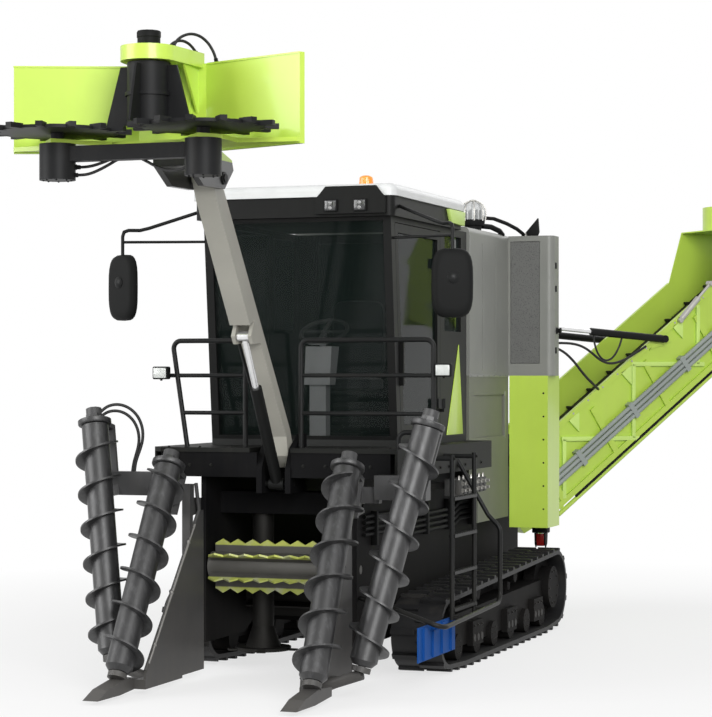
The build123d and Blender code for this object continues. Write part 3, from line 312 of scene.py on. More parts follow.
def weave(name, colour):
    """Woven seat cloth: crossed threads and a soft nap."""
    f = Finish(name)
    at = f.place()
    threads = f.bands(at, 150.0, "X") * f.bands(at, 150.0, "Z")
    nap = f.noise(at, 14.0, 4.0)
    return f.surface(Base_Color=f.drift(threads * 0.6 + nap * 0.4, colour, 0.85, 1.2), Roughness=0.9,
                     Sheen_Weight=0.3, Normal=f.bump(threads, 0.3, 0.001))


def screen_mesh(name, colour):
    """A radiator screen: fine punched holes in dark sheet, the holes near black as painted shade behind them.
    """
    f = Finish(name)
    at = f.place()
    hole = f.ramp(f.cells(f.stretch(at, (1.0, 0.02, 1.0)), 95.0), 0.28, 0.2)
    sheet = f.drift(f.noise(at, 1.5, 4.0), colour, 0.8, 1.2)
    return f.surface(Base_Color=f.mix(hole, sheet, HOLE_PAINTED_SHADE), Roughness=0.5 + hole * 0.3,
                     Normal=f.bump(1 - hole, 0.4, 0.002))


def tipped(name, inner, tip, axis_point, radius):
    """Steel whose outer teeth are painted; the teeth lie past a radius from an axis along X."""
    f = Finish(name)
    at = f.place()
    y = f.axis(at, "Y") - axis_point[1]
    z = f.axis(at, "Z") - axis_point[2]
    far = f.node("ShaderNodeMath", {"operation": "SQRT"}, {0: y * y + z * z})
    cloud = f.noise(at, 9.0, 5.0)
    mask = f.ramp(far + cloud * 0.012, radius, radius + 0.008)
    worn = f.ramp(cloud, 0.5, 0.72) * 0.75
    coat = f.mix(worn, rgba(tip), WORN_TIP)
    return f.surface(Base_Color=f.mix(mask, f.drift(cloud, inner, 0.8, 1.2), coat), Metallic=0.35,
                     Roughness=0.42 + cloud * 0.15, Normal=f.bump(cloud, 0.1, 0.003))


def spread(count, radius, phase=0.0):
    """Pairs of offsets evenly round a circle."""
    turns = [2 * math.pi * (i + phase) / count for i in range(count)]
    return [(radius * math.cos(turn), radius * math.sin(turn)) for turn in turns]


class Maker:
    """Gathers the solids of one piece in millimetres and hands them over as one mesh."""

    def __init__(self, lay=MACHINE):
        self.bm = bmesh.new()
        self.lay = lay

    def soften(self, verts, edge):
        """Rounds the edges of the solid that has these corners."""
        if edge > 0:
            edges = list({e for v in verts for e in v.link_edges})
            bmesh.ops.bevel(self.bm, geom=edges, offset=edge, segments=2, affect="EDGES", profile=0.5,
                            clamp_overlap=True)

    def loop(self, points):
        return [self.bm.verts.new(point) for point in points]

    def skin(self, loops):
        """A closed solid over like loops of corners."""
        for low, high in zip(loops, loops[1:]):
            for i in range(len(low)):
                j = (i + 1) % len(low)
                self.bm.faces.new((low[i], low[j], high[j], high[i]))
        self.bm.faces.new(list(reversed(loops[0])))
        self.bm.faces.new(loops[-1])
        return self

    def box(self, corner, opposite, edge=0.0):
        """A box between two opposite corners, given in either order along each axis."""
        corner, opposite = Vector(corner), Vector(opposite)
        middle = (corner + opposite) / 2
        size = opposite - corner
        made = bmesh.ops.create_cube(self.bm, size=1.0)["verts"]
        for v in made:
            v.co = middle + Vector([c * abs(s) for c, s in zip(v.co, size)])
        self.soften(made, edge)
        return self

    def prism(self, near, far, edge=0.0):
        """A solid between two like outlines."""
        ends = [self.loop(near), self.loop(far)]
        self.skin(ends)
        self.soften(ends[0] + ends[1], edge)
        return self

    def plate_x(self, outline, x0, x1, edge=0.0):
        """A plate with an outline in y and z, between two planes in either order."""
        return self.prism(*[[(x, y, z) for y, z in outline] for x in sorted((x0, x1))], edge)

    def plate_y(self, outline, y0, y1, edge=0.0):
        """A plate with an outline in x and z, between two planes in either order."""
        return self.prism(*[[(x, y, z) for x, z in outline] for y in sorted((y0, y1))], edge)

    def turned(self, start, away, profile, sides=24):
        """A closed turned solid: rings (distance, radius) from start along a direction."""
        start, run = Vector(start), Vector(away).normalized()
        across = run.orthogonal().normalized()
        other = run.cross(across)
        return self.skin([self.loop(start + run * reach + across * a + other * b
                                    for a, b in spread(sides, radius)) for reach, radius in profile])

    def rod(self, start, end, radius, sides, chamfer=0.0):
        away = Vector(end) - Vector(start)
        long = away.length
        profile = [(0, radius), (long, radius)]
        if chamfer:
            slim = radius - chamfer
            profile = [(0, slim), (chamfer, radius), (long - chamfer, radius), (long, slim)]
        return self.turned(start, away, profile, sides)

    def bolt(self, seat, away, size):
        """A hexagon head on its washer."""
        seat, away = Vector(seat), Vector(away).normalized()
        washer, thick = size * 0.95, size * 0.16
        flats, crown, tall, top = size * 0.62, size * 0.48, size * 0.5, size * 0.6
        self.turned(seat, away, [(0, washer), (thick, washer)], 16)
        return self.turned(seat + away * thick, away, [(0, flats), (tall, flats), (top, crown)], 6)

    def path(self, points, radius, sides=12):
        """A bent rigid pipe through the given points, mitred at each."""
        points = [Vector(p) for p in points]
        runs = [(b - a).normalized() for a, b in zip(points, points[1:])]
        loops = []
        across = runs[0].orthogonal()
        for point, before, after in zip(points, runs[:1] + runs, runs + runs[-1:]):
            run = (before + after).normalized()
            across = (across - run * across.dot(run)).normalized()
            other = run.cross(across)
            wide = radius / max(0.5, run.dot(after))
            loops.append(self.loop(point + across * a + other * b for a, b in spread(sides, wide)))
        return self.skin(loops)

    def take(self, other, lay):
        """Takes in another maker's solids, laid by a matrix."""
        other.bm.transform(lay)
        mesh = bpy.data.meshes.new("part")
        other.bm.to_mesh(mesh)
        other.bm.free()
        self.bm.from_mesh(mesh)
        bpy.data.meshes.remove(mesh)
        return self

    def piece(self, name, body, finish, slot, smooth=40.0, stands_for=()):
        """The finished object, riding on its body."""
        self.bm.transform(Matrix.Scale(MM, 4) @ Matrix.Translation(-ORIGIN) @ self.lay)
        bmesh.ops.recalc_face_normals(self.bm, faces=self.bm.faces)
        mesh = bpy.data.meshes.new(name)
        self.bm.to_mesh(mesh)
        self.bm.free()
        mesh.shade_smooth()
        mesh.set_sharp_from_angle(angle=math.radians(smooth))
        thing = bpy.data.objects.new(name, mesh)
        bpy.context.scene.collection.objects.link(thing)
        mesh.materials.append(FINISH[finish])
        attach(thing, body)
        if stands_for:
            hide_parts(*stands_for)
        return thing


def row(point, lay=MACHINE):
    """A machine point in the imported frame's metres."""
    return (lay @ Vector(point) - ORIGIN) * MM


def arched(start, heading, steps):
    """Points over a line in plan: each step is a distance along the heading and a height."""
    along = Vector((*heading, 0.0)).normalized()
    return [Vector(start) + along * reach + Vector((0, 0, height)) for reach, height in steps]


def hose(name, points, thick, body, lay=MACHINE, onto=None):
    """A free rubber hose on one smooth spline.

    With onto it crosses the joint between body and onto; it is made a plain mesh that rides on no body.
    """
    curve = bpy.data.curves.new(name, "CURVE")
    curve.dimensions = "3D"
    spline = curve.splines.new("NURBS")
    spline.points.add(len(points) - 1)
    for knot, point in zip(spline.points, points):
        knot.co = (*row(point, lay), 1.0)
    spline.use_endpoint_u = True
    spline.order_u = 3
    spline.resolution_u = 10
    curve.use_fill_caps = True
    thing = bpy.data.objects.new(name, curve)
    bpy.context.scene.collection.objects.link(thing)
    bpy.context.view_layer.update()
    line = bpy.data.meshes.new_from_object(thing)
    bpy.data.meshes.remove(line)
    curve.bevel_depth = thick * MM / 2
    curve.bevel_resolution = 3
    curve.materials.append(FINISH["hose"])
    if onto:
        bpy.context.view_layer.update()
        tube = bpy.data.meshes.new_from_object(thing)
        bpy.data.objects.remove(thing)
        thing = bpy.data.objects.new(name, tube)
        bpy.context.scene.collection.objects.link(thing)
        row(points[0], lay)
        row(points[-1], lay)
        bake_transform(thing)
    else:
        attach(thing, body)
    row(points[0], lay)
    thick * MM
    return thing


def tint(name, use, default):
    return FloatVectorProperty(name=name, description=use, subtype="COLOR", default=default)


def width(name, use, default, least=10.0):
    return FloatProperty(name=name, description=use, default=default, min=least)


class HarvesterColours(bpy.types.PropertyGroup):
    """Colours that a user would change, in linear light."""

    lime: tint("Lime paint", "Topper, boxes and elevator", (0.53, 0.735, 0.085))
    dark: tint("Dark paint", "Topper motors, discs and drum, and track bolts", (0.01, 0.0103, 0.0108))
    hood: tint("Hood paint", "Engine hood and cooling boxes", (0.225, 0.23, 0.21))
    arm: tint("Arm paint", "Topper arm", (0.36, 0.35, 0.308))
    black: tint("Black paint", "Cab frame, door, visor and cylinder barrels", (0.0065, 0.0068, 0.0066))
    roof: tint("Roof", "Cab roof moulding", (0.66, 0.67, 0.67))
    guard: tint("Track guard", "Ribbed guard before the track", (0.004, 0.066, 0.28))
    amber: tint("Beacon", "Beacon lens", (0.9, 0.26, 0.01))


class HarvesterSizes(bpy.types.PropertyGroup):
    """Sizes of the fittings that a user would change, in millimetres."""

    hose: width("Thin hose", "Outside diameter of a hose on the topper or a ram", 20.0)
    divider_hose: width("Divider hose", "Outside diameter of a scroll motor's hose", 24.0)
    lift_hose: width("Lift hose", "Outside diameter of a hose onto the elevator", 25.0)
    bolt: width("Bolt", "Half width of a bolt and its washer", 15.0, 5.0)


class HARVESTER_OT_finishes(bpy.types.Operator):
    """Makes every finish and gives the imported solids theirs"""

    bl_idname = "harvester.finishes"
    bl_label = "Finishes"

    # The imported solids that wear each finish
    WORN_BY = {
        "track": ["tracks"],
        "frame": ["track_frames", "side_plates", "cross_frame"],
        "shield": ["left_divider", "right_divider"],
        "dark": ["topper_motors", "left_gather_disc", "right_gather_disc", "topper_drum"],
        "scroll": ["left_inner_scroll", "right_inner_scroll", "left_outer_scroll", "right_outer_scroll"],
        "deck": ["deck"],
        "rail": ["guard_rails", "boarding_ladder"],
        "guard": ["track_skirt"],
        "black": ["cab_ends", "cab_sides", "cab_visor", "cab_door", "topper_barrel", "topper_link",
                  "elevator_barrels"],
        "inside": ["cab_floor"],
        "glass": ["cab_glass"],
        "door_glass": ["door_glass"],
        "roof": ["cab_roof"],
        "beacon": ["beacon"],
        "lamp": ["work_lamps"],
        "plastic": ["mirrors"],
        "console": ["steering_column"],
        "cloth": ["seat"],
        "hood": ["hood", "cooling_boxes", "extractor_chamber"],
        "hood_low": ["hood_sides"],
        "engine": ["engine"],
        "head": ["topper_head"],
        "lime": ["side_boxes", "extractor_hood", "elevator_mast", "elevator_tray", "elevator_top",
                 "elevator_flap"],
        # The elevator's walls wear a darker lime: painted shade on the walls set back behind the ribs.
        "wall_lime_painted_shade": ["elevator_walls"],
        "steel": ["exhaust", "extractor_fan"],
        "oily": ["lift_roller", "left_base_cutter", "right_base_cutter", "elevator_chain"],
        "hose": ["topper_hoses", "divider_hoses"],
        "pipes": ["elevator_pipes"],
        "teeth": ["knockdown_roller"],
        "arm": ["topper_arm"],
        "chrome": ["topper_rod", "elevator_rods"],
    }
    # Heights in metres under which a finish changes: below the topper's floor to the dark paint as painted
    # shade, and below the console's head to a paler grey
    HEAD_PAINTED_SHADE = FLOOR_LOW * MM - 0.016
    CONSOLE_PALE = 2.585
    # Planes in metres, in x and y, past which the cab's panes are opaque: painted shade for the cab's dark
    # inside
    PAINTED_SHADE_PLANES = (-1.5, -0.45)
    TOOTH_ROOT = 0.165
    GLASS_TINT = (0.012, 0.018, 0.016)

    def execute(self, context):
        c = context.scene.harvester_colours
        roller = next(j for j in frame["joints"] if j["name"] == "knockdown_roller")["pos_m"]
        FINISH.update({
            "lime": paint("lime_gloss_paint", c.lime, 0.34, 0.3, 0.12, 0.08),
            # Under its floor the head is in the dark paint: painted shade under the floor.
            "head": paint("topper_paint_and_painted_shade", c.lime, 0.34, 0.3, 0.1, 0.08, below=(self.HEAD_PAINTED_SHADE, c.dark)),
            # A lighter copy of the lime, on the roof's side plates and, as a painted highlight, on the
            # elevator's gussets and bars.
            "pale_lime_and_painted_highlight": paint("pale_lime_paint_and_painted_highlight", (0.6, 0.82, 0.2), 0.4, 0.1, 0.1),
            # A darker copy of the lime for the elevator's walls: painted shade behind the ribs and gussets.
            "wall_lime_painted_shade": paint("wall_lime_with_painted_shade", (0.49, 0.68, 0.085), 0.36, 0.2, 0.12, 0.08),
            "dark": paint("dark_satin_paint", c.dark, 0.45, 0.0, 0.08, 0.2, gloss=0.14),
            "shield": paint("shield_paint", (0.058, 0.058, 0.059), 0.42, 0.0, 0.14, 0.15, gloss=0.35),
            # Near-black frame paint, darker than black paint: painted shade on the frames under the deck.
            "frame": paint("frame_paint_and_painted_shade", (0.0045, 0.0045, 0.005), 0.65, 0.0, 0.03, 0.2, gloss=0.08),
            "scroll": worn_paint("scroll_paint", (0.018, 0.018, 0.0185), (0.15, 0.15, 0.155), 0.36, 0.4, 0.6),
            "hood": paint("hood_satin_paint", c.hood, 0.45, 0.05, 0.15),
            "hood_low": paint("hood_side_paint", (0.15, 0.157, 0.125), 0.48, 0.0, 0.12, gloss=0.35),
            "arm": paint("arm_satin_paint", c.arm, 0.4, 0.1, 0.18),
            "deck": paint("deck_satin_paint", (0.01, 0.0105, 0.0095), 0.55, 0.0, 0.06, gloss=0.13),
            "black": paint("black_satin_paint", c.black, 0.45, 0.0, 0.02, 0.2, gloss=0.14),
            "inside": moulding("cab_lining", (0.02, 0.021, 0.02), 0.7, 0.03, gloss=0.3),
            "rail": paint("rail_paint", (0.01, 0.0105, 0.0105), 0.4, 0.03, 0.04, gloss=0.14),
            "roof": moulding("roof_moulding", c.roof, 0.3, 0.02, 90.0),
            "plastic": moulding("black_moulding", (0.007, 0.0073, 0.0072), 0.55, 0.05, gloss=0.12),
            "console": paint("console_moulding", (0.045, 0.045, 0.045), 0.5, 0.0, 0.02, gloss=0.2,
                             below=(self.CONSOLE_PALE, (0.36, 0.37, 0.37))),
            "hose": moulding("hose_rubber", (0.01, 0.01, 0.01), 0.45, 0.1, 220.0, gloss=0.35),
            "guard": moulding("blue_moulding", c.guard, 0.55, 0.04, 160.0, gloss=0.2),
            "track": tracked_rubber("track_rubber", (0.01, 0.01, 0.0105)),
            "glass": glazing("tinted_glass_and_painted_shade", self.GLASS_TINT, 0.3, gloss=0.2, painted_shade_planes=self.PAINTED_SHADE_PLANES),
            "door_glass": glazing("door_tinted_glass", self.GLASS_TINT, 0.62, gloss=0.08),
            "bowl": glazing("clear_bowl", (0.6, 0.62, 0.62), 0.45, 0.08),
            "beacon": lens("amber_lens", c.amber, 0.25),
            "lamp": lens("clear_lens", (0.58, 0.6, 0.58)),
            "dim_lens": lens("dim_lens", (0.2, 0.2, 0.2)),
            "dark_lens": lens("smoked_lens", (0.03, 0.031, 0.032)),
            "red_lamp": lens("red_lens", (0.25, 0.012, 0.01)),
            "mirror": steel("mirror_glass", (0.85, 0.86, 0.88), 0.03),
            "cloth": weave("seat_weave", (0.02, 0.02, 0.023)),
            "engine": paint("engine_casting", (0.05, 0.05, 0.048), 0.6, 0.0, 0.3, 0.2, 0.3),
            "steel": steel("worn_steel", (0.42, 0.41, 0.39), 0.36),
            "oily": steel("oily_steel", (0.03, 0.029, 0.027), 0.5),
            "bright": steel("plated_fittings", (0.45, 0.44, 0.41), 0.3),
            "chrome": steel("chromed_rod", (0.8, 0.8, 0.8), 0.08, (60.0, 60.0, 3.0)),
            "pipes": paint("pipe_paint", (0.3, 0.335, 0.315), 0.35, 0.15, 0.1),
            "screen": screen_mesh("cooling_screen", (0.13, 0.132, 0.125)),
            "teeth": tipped("roller_teeth", (0.09, 0.087, 0.08), (0.5, 0.55, 0.12), roller, self.TOOTH_ROOT),
        })
        for finish, names in self.WORN_BY.items():
            for name in names:
                mesh = frame["nodes"][name].data
                mesh.materials.clear()
                mesh.materials.append(FINISH[finish])
        return {"FINISHED"}


class HARVESTER_OT_stage(bpy.types.Operator):
    """Makes the pale floor, the soft lights and the camera at the photograph's view"""

    bl_idname = "harvester.stage"
    bl_label = "Stage"

    FLOOR_HALF = 60.0
    FLOOR_Z = -0.002
    # The floor's colour in bounced light and in view, its share of white near the machine, and the
    # distances over which it turns all white
    FLOOR_GREY = (0.4, 0.4, 0.4, 1.0)
    FLOOR_PALE = (0.88, 0.88, 0.88, 1.0)
    FLOOR_WHITE = 0.7
    FLOOR_FADE = (4.0, 9.0)
    # The light that the sky gives low down, and what it gains towards the top
    SKY_LOW = 0.28
    SKY_GAIN = 0.2
    # Each light's name, place, target, size and power
    LIGHTS = (
        ("key", (13.0, -22.0, 9.5), (0.0, -1.0, 1.8), 12.0, 5000.0),
        ("fill", (-16.5, -15.5, 7.0), (-0.5, -1.5, 2.0), 13.0, 2900.0),
        ("back", (3.0, 12.0, 10.0), (0.0, 1.0, 2.5), 9.0, 350.0),
    )
    # The camera that was solved from the photograph
    CAMERA_PLACE = (5.4915, -18.469, 2.318)
    CAMERA_TURN = math.radians(19.5)
    CAMERA_LENS = 111.7
    CAMERA_SHIFT = 0.0258

    def floor(self, scene):
        bm = bmesh.new()
        bmesh.ops.create_grid(bm, x_segments=2, y_segments=2, size=self.FLOOR_HALF)
        mesh = bpy.data.meshes.new("studio_floor")
        bm.to_mesh(mesh)
        bm.free()
        floor = bpy.data.objects.new("studio_floor", mesh)
        scene.collection.objects.link(floor)
        floor.location.z = self.FLOOR_Z
        f = Finish("studio_floor")
        shown = f.seen()
        away = f.node("ShaderNodeVectorMath", {"operation": "LENGTH"}, {0: f.place()}, out="Value")
        pale = f.mix(shown, self.FLOOR_GREY, self.FLOOR_PALE)
        diffuse = f.node("ShaderNodeBsdfDiffuse", {}, {"Color": pale})
        white = f.node("ShaderNodeEmission", {}, {"Color": WHITE, "Strength": 1.0})
        fade = f.ramp(away, *self.FLOOR_FADE)
        share = shown * (self.FLOOR_WHITE + fade * (1.0 - self.FLOOR_WHITE))
        blend = f.node("ShaderNodeMixShader", {}, {0: share, 1: diffuse, 2: white})
        f.tree.links.new(blend.socket, f.out.inputs["Surface"])
        mesh.materials.append(f.material)

    def world(self, scene):
        """White where it is seen, and a soft grey that brightens upwards for the light it gives."""
        world = bpy.data.worlds.new("studio")
        scene.world = world
        world.use_nodes = True
        net = Net(world.node_tree)
        shown = net.seen()
        up = net.axis(net.node("ShaderNodeTexCoord", out="Generated"), "Z")
        soft = self.SKY_LOW + net.ramp(up, -0.2, 0.9) * self.SKY_GAIN
        strength = soft * (1 - shown) + shown
        sky = net.node("ShaderNodeBackground", {}, {"Color": WHITE, "Strength": strength})
        out = world.node_tree.nodes.new("ShaderNodeOutputWorld")
        world.node_tree.links.new(sky.socket, out.inputs["Surface"])

    def lights(self, scene):
        for name, place, target, size, power in self.LIGHTS:
            lamp = bpy.data.lights.new(name, "AREA")
            lamp.size = size
            lamp.energy = power
            thing = bpy.data.objects.new(name, lamp)
            scene.collection.objects.link(thing)
            thing.location = place
            thing.rotation_euler = (Vector(target) - Vector(place)).to_track_quat("-Z", "Y").to_euler()

    def camera(self, scene):
        view = bpy.data.cameras.new("photo_view")
        view.sensor_width = 36.0
        view.sensor_fit = "AUTO"
        view.lens = self.CAMERA_LENS
        view.shift_y = self.CAMERA_SHIFT
        view.clip_end = 200.0
        camera = bpy.data.objects.new("photo_view", view)
        scene.collection.objects.link(camera)
        camera.location = self.CAMERA_PLACE
        camera.rotation_euler = (math.pi / 2, 0.0, self.CAMERA_TURN)
        scene.camera = camera

    def execute(self, context):
        self.floor(context.scene)
        self.world(context.scene)
        self.lights(context.scene)
        self.camera(context.scene)
        context.scene.view_settings.view_transform = "Standard"
        return {"FINISHED"}


class HARVESTER_OT_cab(bpy.types.Operator):
    """Adds the cab's green panels, beacon, mirrors and lamps"""

    bl_idname = "harvester.cab"
    bl_label = "Cab fittings"

    # Outlines in y and z of the green panel at the rear of each cab side and of the roof's side plate
    CORNER_PANEL = ((1282, 1835), (1742, 1835), (1622, 2592))
    ROOF_PLATE = ((1130, 3708), (1590, 3708), (1570, 3590), (1210, 3598))
    BEACON = (420, 300, 3810)
    # The left mirror's middle and turn, its half width and height, its shell's depths with their
    # share of the outline, its arm and its lower stay
    MIRROR = Vector((1365.0, -440.0, 3025.0))
    MIRROR_TURN = Matrix.Rotation(math.radians(25.0), 4, "Z")
    MIRROR_HALF = (158, 262)
    MIRROR_SHELL = ((-40, 0.72), (-33, 0.86), (-18, 0.96), (4, 1.0), (24, 1.0))
    MIRROR_ARM = ((832, -100, 3640), (1000, -192, 3576), (1200, -302, 3500), (1262, -338, 3482),
                  (1330, -405, 3480), (1356, -432, 3466), (1365, -440, 3430), (1365, -440, 3060))
    MIRROR_STAY = ((784, -118, 3395), (1000, -237, 3391), (1365, -440, 3385))
    # The visor lamps in x with their eyes' heights, and the middles of the rail lamps
    VISOR_LAMPS = (335, 575)
    VISOR_EYES = (3624, 3661)
    RAIL_LAMPS = ((-975, -560, 2350), (1320, -518, 2370))

    def panels(self):
        green = Maker()
        plate = Maker()
        for side in SIDES:
            green.plate_x(self.CORNER_PANEL, side * 784, side * 791, 2)
            plate.plate_x(self.ROOF_PLATE, side * 829, side * 858, 4)
        green.piece("cab_corner_panels", "chassis", "lime", "lime_paint")
        plate.piece("roof_side_plates", "chassis", "pale_lime_and_painted_highlight", "lime_paint")

    def beacon(self):
        base = Maker().turned(self.BEACON, UP, [(0, 72), (14, 72), (18, 64), (28, 64)], 32)
        base.piece("beacon_base", "chassis", "plastic", "black_plastic")
        profile = [(28, 58)]
        for i in range(6):
            profile += [(32 + 12 * i, 60 - i), (38 + 12 * i, 58 - i)]
        profile += [(106, 44), (113, 26), (115, 5)]
        dome = Maker().turned(self.BEACON, UP, profile, 40)
        dome.piece("beacon_dome", "chassis", "beacon", "amber_lens", 60, ("beacon",))

    def mirror_outline(self, wide, tall):
        """A rounded oblong, in the mirror's own plane."""
        half_x, half_z = self.MIRROR_HALF
        return [(half_x * wide * math.copysign(abs(across) ** 0.55, across),
                 half_z * tall * math.copysign(abs(up) ** 0.55, up)) for across, up in spread(28, 1.0)]

    def mirror_shell(self):
        """A moulded housing, domed towards the front."""
        shell = Maker()
        return shell.skin([shell.loop((x, depth, z) for x, z in self.mirror_outline(grow, grow))
                           for depth, grow in self.MIRROR_SHELL])

    def mirrors(self):
        arms = Maker()
        shells = Maker()
        faces = Maker()
        knobs = Maker()
        for side in SIDES:
            flip = Matrix.Diagonal((side, 1.0, 1.0, 1.0))
            lay = flip @ Matrix.Translation(self.MIRROR) @ self.MIRROR_TURN
            arms.take(Maker().path(self.MIRROR_ARM, 14).path(self.MIRROR_STAY, 11), flip)
            shells.take(self.mirror_shell(), lay)
            faces.take(Maker().plate_y(self.mirror_outline(0.93, 0.95), 22, 27), lay)
            knobs.take(Maker().turned((0, -36, 40), FORWARD, [(0, 46), (8, 46), (18, 34), (24, 12)]), lay)
        arms.piece("mirror_arms", "chassis", "rail", "black_plastic")
        shells.piece("mirror_shells", "chassis", "plastic", "black_plastic", 50, ("mirrors",))
        faces.piece("mirror_faces", "chassis", "mirror", "black_plastic")
        knobs.piece("mirror_knobs", "chassis", "rail", "black_plastic")

    def lamps(self, bolt):
        lenses = Maker()
        bodies = Maker()
        smoked = Maker()
        eyes = Maker()
        for x in self.VISOR_LAMPS:
            bodies.box((x - 55, -304, 3594), (x + 55, -286, 3691), 8)
            smoked.box((x - 44, -309, 3604), (x + 44, -301, 3681), 6)
            for z in self.VISOR_EYES:
                eyes.turned((x, -307, z), FORWARD, [(0, 15), (4, 15), (7, 11), (8, 4)], 20)
        for x, y, z in self.RAIL_LAMPS:
            bodies.box((x - 66, y - 30, z - 50), (x + 66, y + 38, z + 50), 12)
            lenses.box((x - 54, y - 38, z - 40), (x + 54, y - 26, z + 40), 8)
            bodies.bolt((x, y, z - 50), DOWN, bolt)
        bodies.piece("lamp_bodies", "chassis", "plastic", "black_plastic", 40, ("work_lamps",))
        smoked.piece("visor_lamp_lenses", "chassis", "dark_lens", "lamp_lens")
        eyes.piece("visor_lamp_eyes", "chassis", "dim_lens", "lamp_lens")
        lenses.piece("lamp_lenses", "chassis", "lamp", "lamp_lens")

    def execute(self, context):
        self.panels()
        self.beacon()
        self.mirrors()
        self.lamps(context.scene.harvester_sizes.bolt)
        return {"FINISHED"}


class HARVESTER_OT_seat(bpy.types.Operator):
    """Replaces the plain seat with crowned cushions on a sprung base"""

    bl_idname = "harvester.seat"
    bl_label = "Operator's seat"

    # How square a pad's corners are, its height at the rim, the crown on top of that, how far its
    # sides pull in, and how deep and wide its sewn channels are
    SQUARE = 6
    RIM = 0.82
    CROWN = 0.16
    PULL = 0.03
    CHANNEL_DEEP = 0.08
    CHANNEL_WIDE = 0.05

    def cushion(self, name, low, high, seams):
        """A crowned pad whose sides pull in between the corners, with sewn channels across it."""
        low, high = Vector(low), Vector(high)
        bm = bmesh.new()
        bmesh.ops.create_cube(bm, size=2.0)
        bmesh.ops.subdivide_edges(bm, edges=bm.edges[:], cuts=15, use_grid_fill=True)
        mid, half = (low + high) / 2, (high - low) / 2
        thin = min(range(3), key=lambda k: half[k])
        wide, long = (k for k in range(3) if k != thin)
        for v in bm.verts:
            u = v.co.copy()
            u = u / max(1.0, sum(abs(c) ** self.SQUARE for c in u) ** (1 / self.SQUARE))
            bulge = (1 - u[wide] ** 2) * (1 - u[long] ** 2)
            channel = sum(math.exp(-((u[long] - s) / self.CHANNEL_WIDE) ** 2) for s in seams)
            if u[thin] > -0.5:
                u[thin] *= self.RIM + self.CROWN * bulge - self.CHANNEL_DEEP * channel
            pull = 1 - self.PULL * (1 - u[thin] ** 2)
            u[wide] *= pull
            u[long] *= pull
            v.co = (mid + Vector([u[k] * half[k] for k in range(3)]) - ORIGIN) * MM
        mesh = bpy.data.meshes.new(name)
        bm.to_mesh(mesh)
        bm.free()
        mesh.shade_smooth()
        thing = bpy.data.objects.new(name, mesh)
        bpy.context.scene.collection.objects.link(thing)
        mesh.materials.append(FINISH["cloth"])
        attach(thing, "chassis")
        return thing

    def execute(self, context):
        pad = self.cushion("seat_cushion", (-245, 855, 2208), (245, 1345, 2322), (-0.35, 0.35))
        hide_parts("seat")
        self.cushion("seat_back", (-235, 1275, 2330), (235, 1385, 2970), (-0.5, 0.0, 0.5))
        base = Maker()
        base.box((-150, 950, 1826), (150, 1250, 1860), 8)
        for i in range(5):
            inset, rise = 4 * i, 62 * i
            base.box((-130 + inset, 970 + inset, 1864 + rise), (130 - inset, 1230 - inset, 1918 + rise), 14)
        base.box((-200, 900, 2176), (200, 1320, 2206), 8)
        base.piece("seat_base", "chassis", "inside", "seat_fabric")
        return {"FINISHED"}


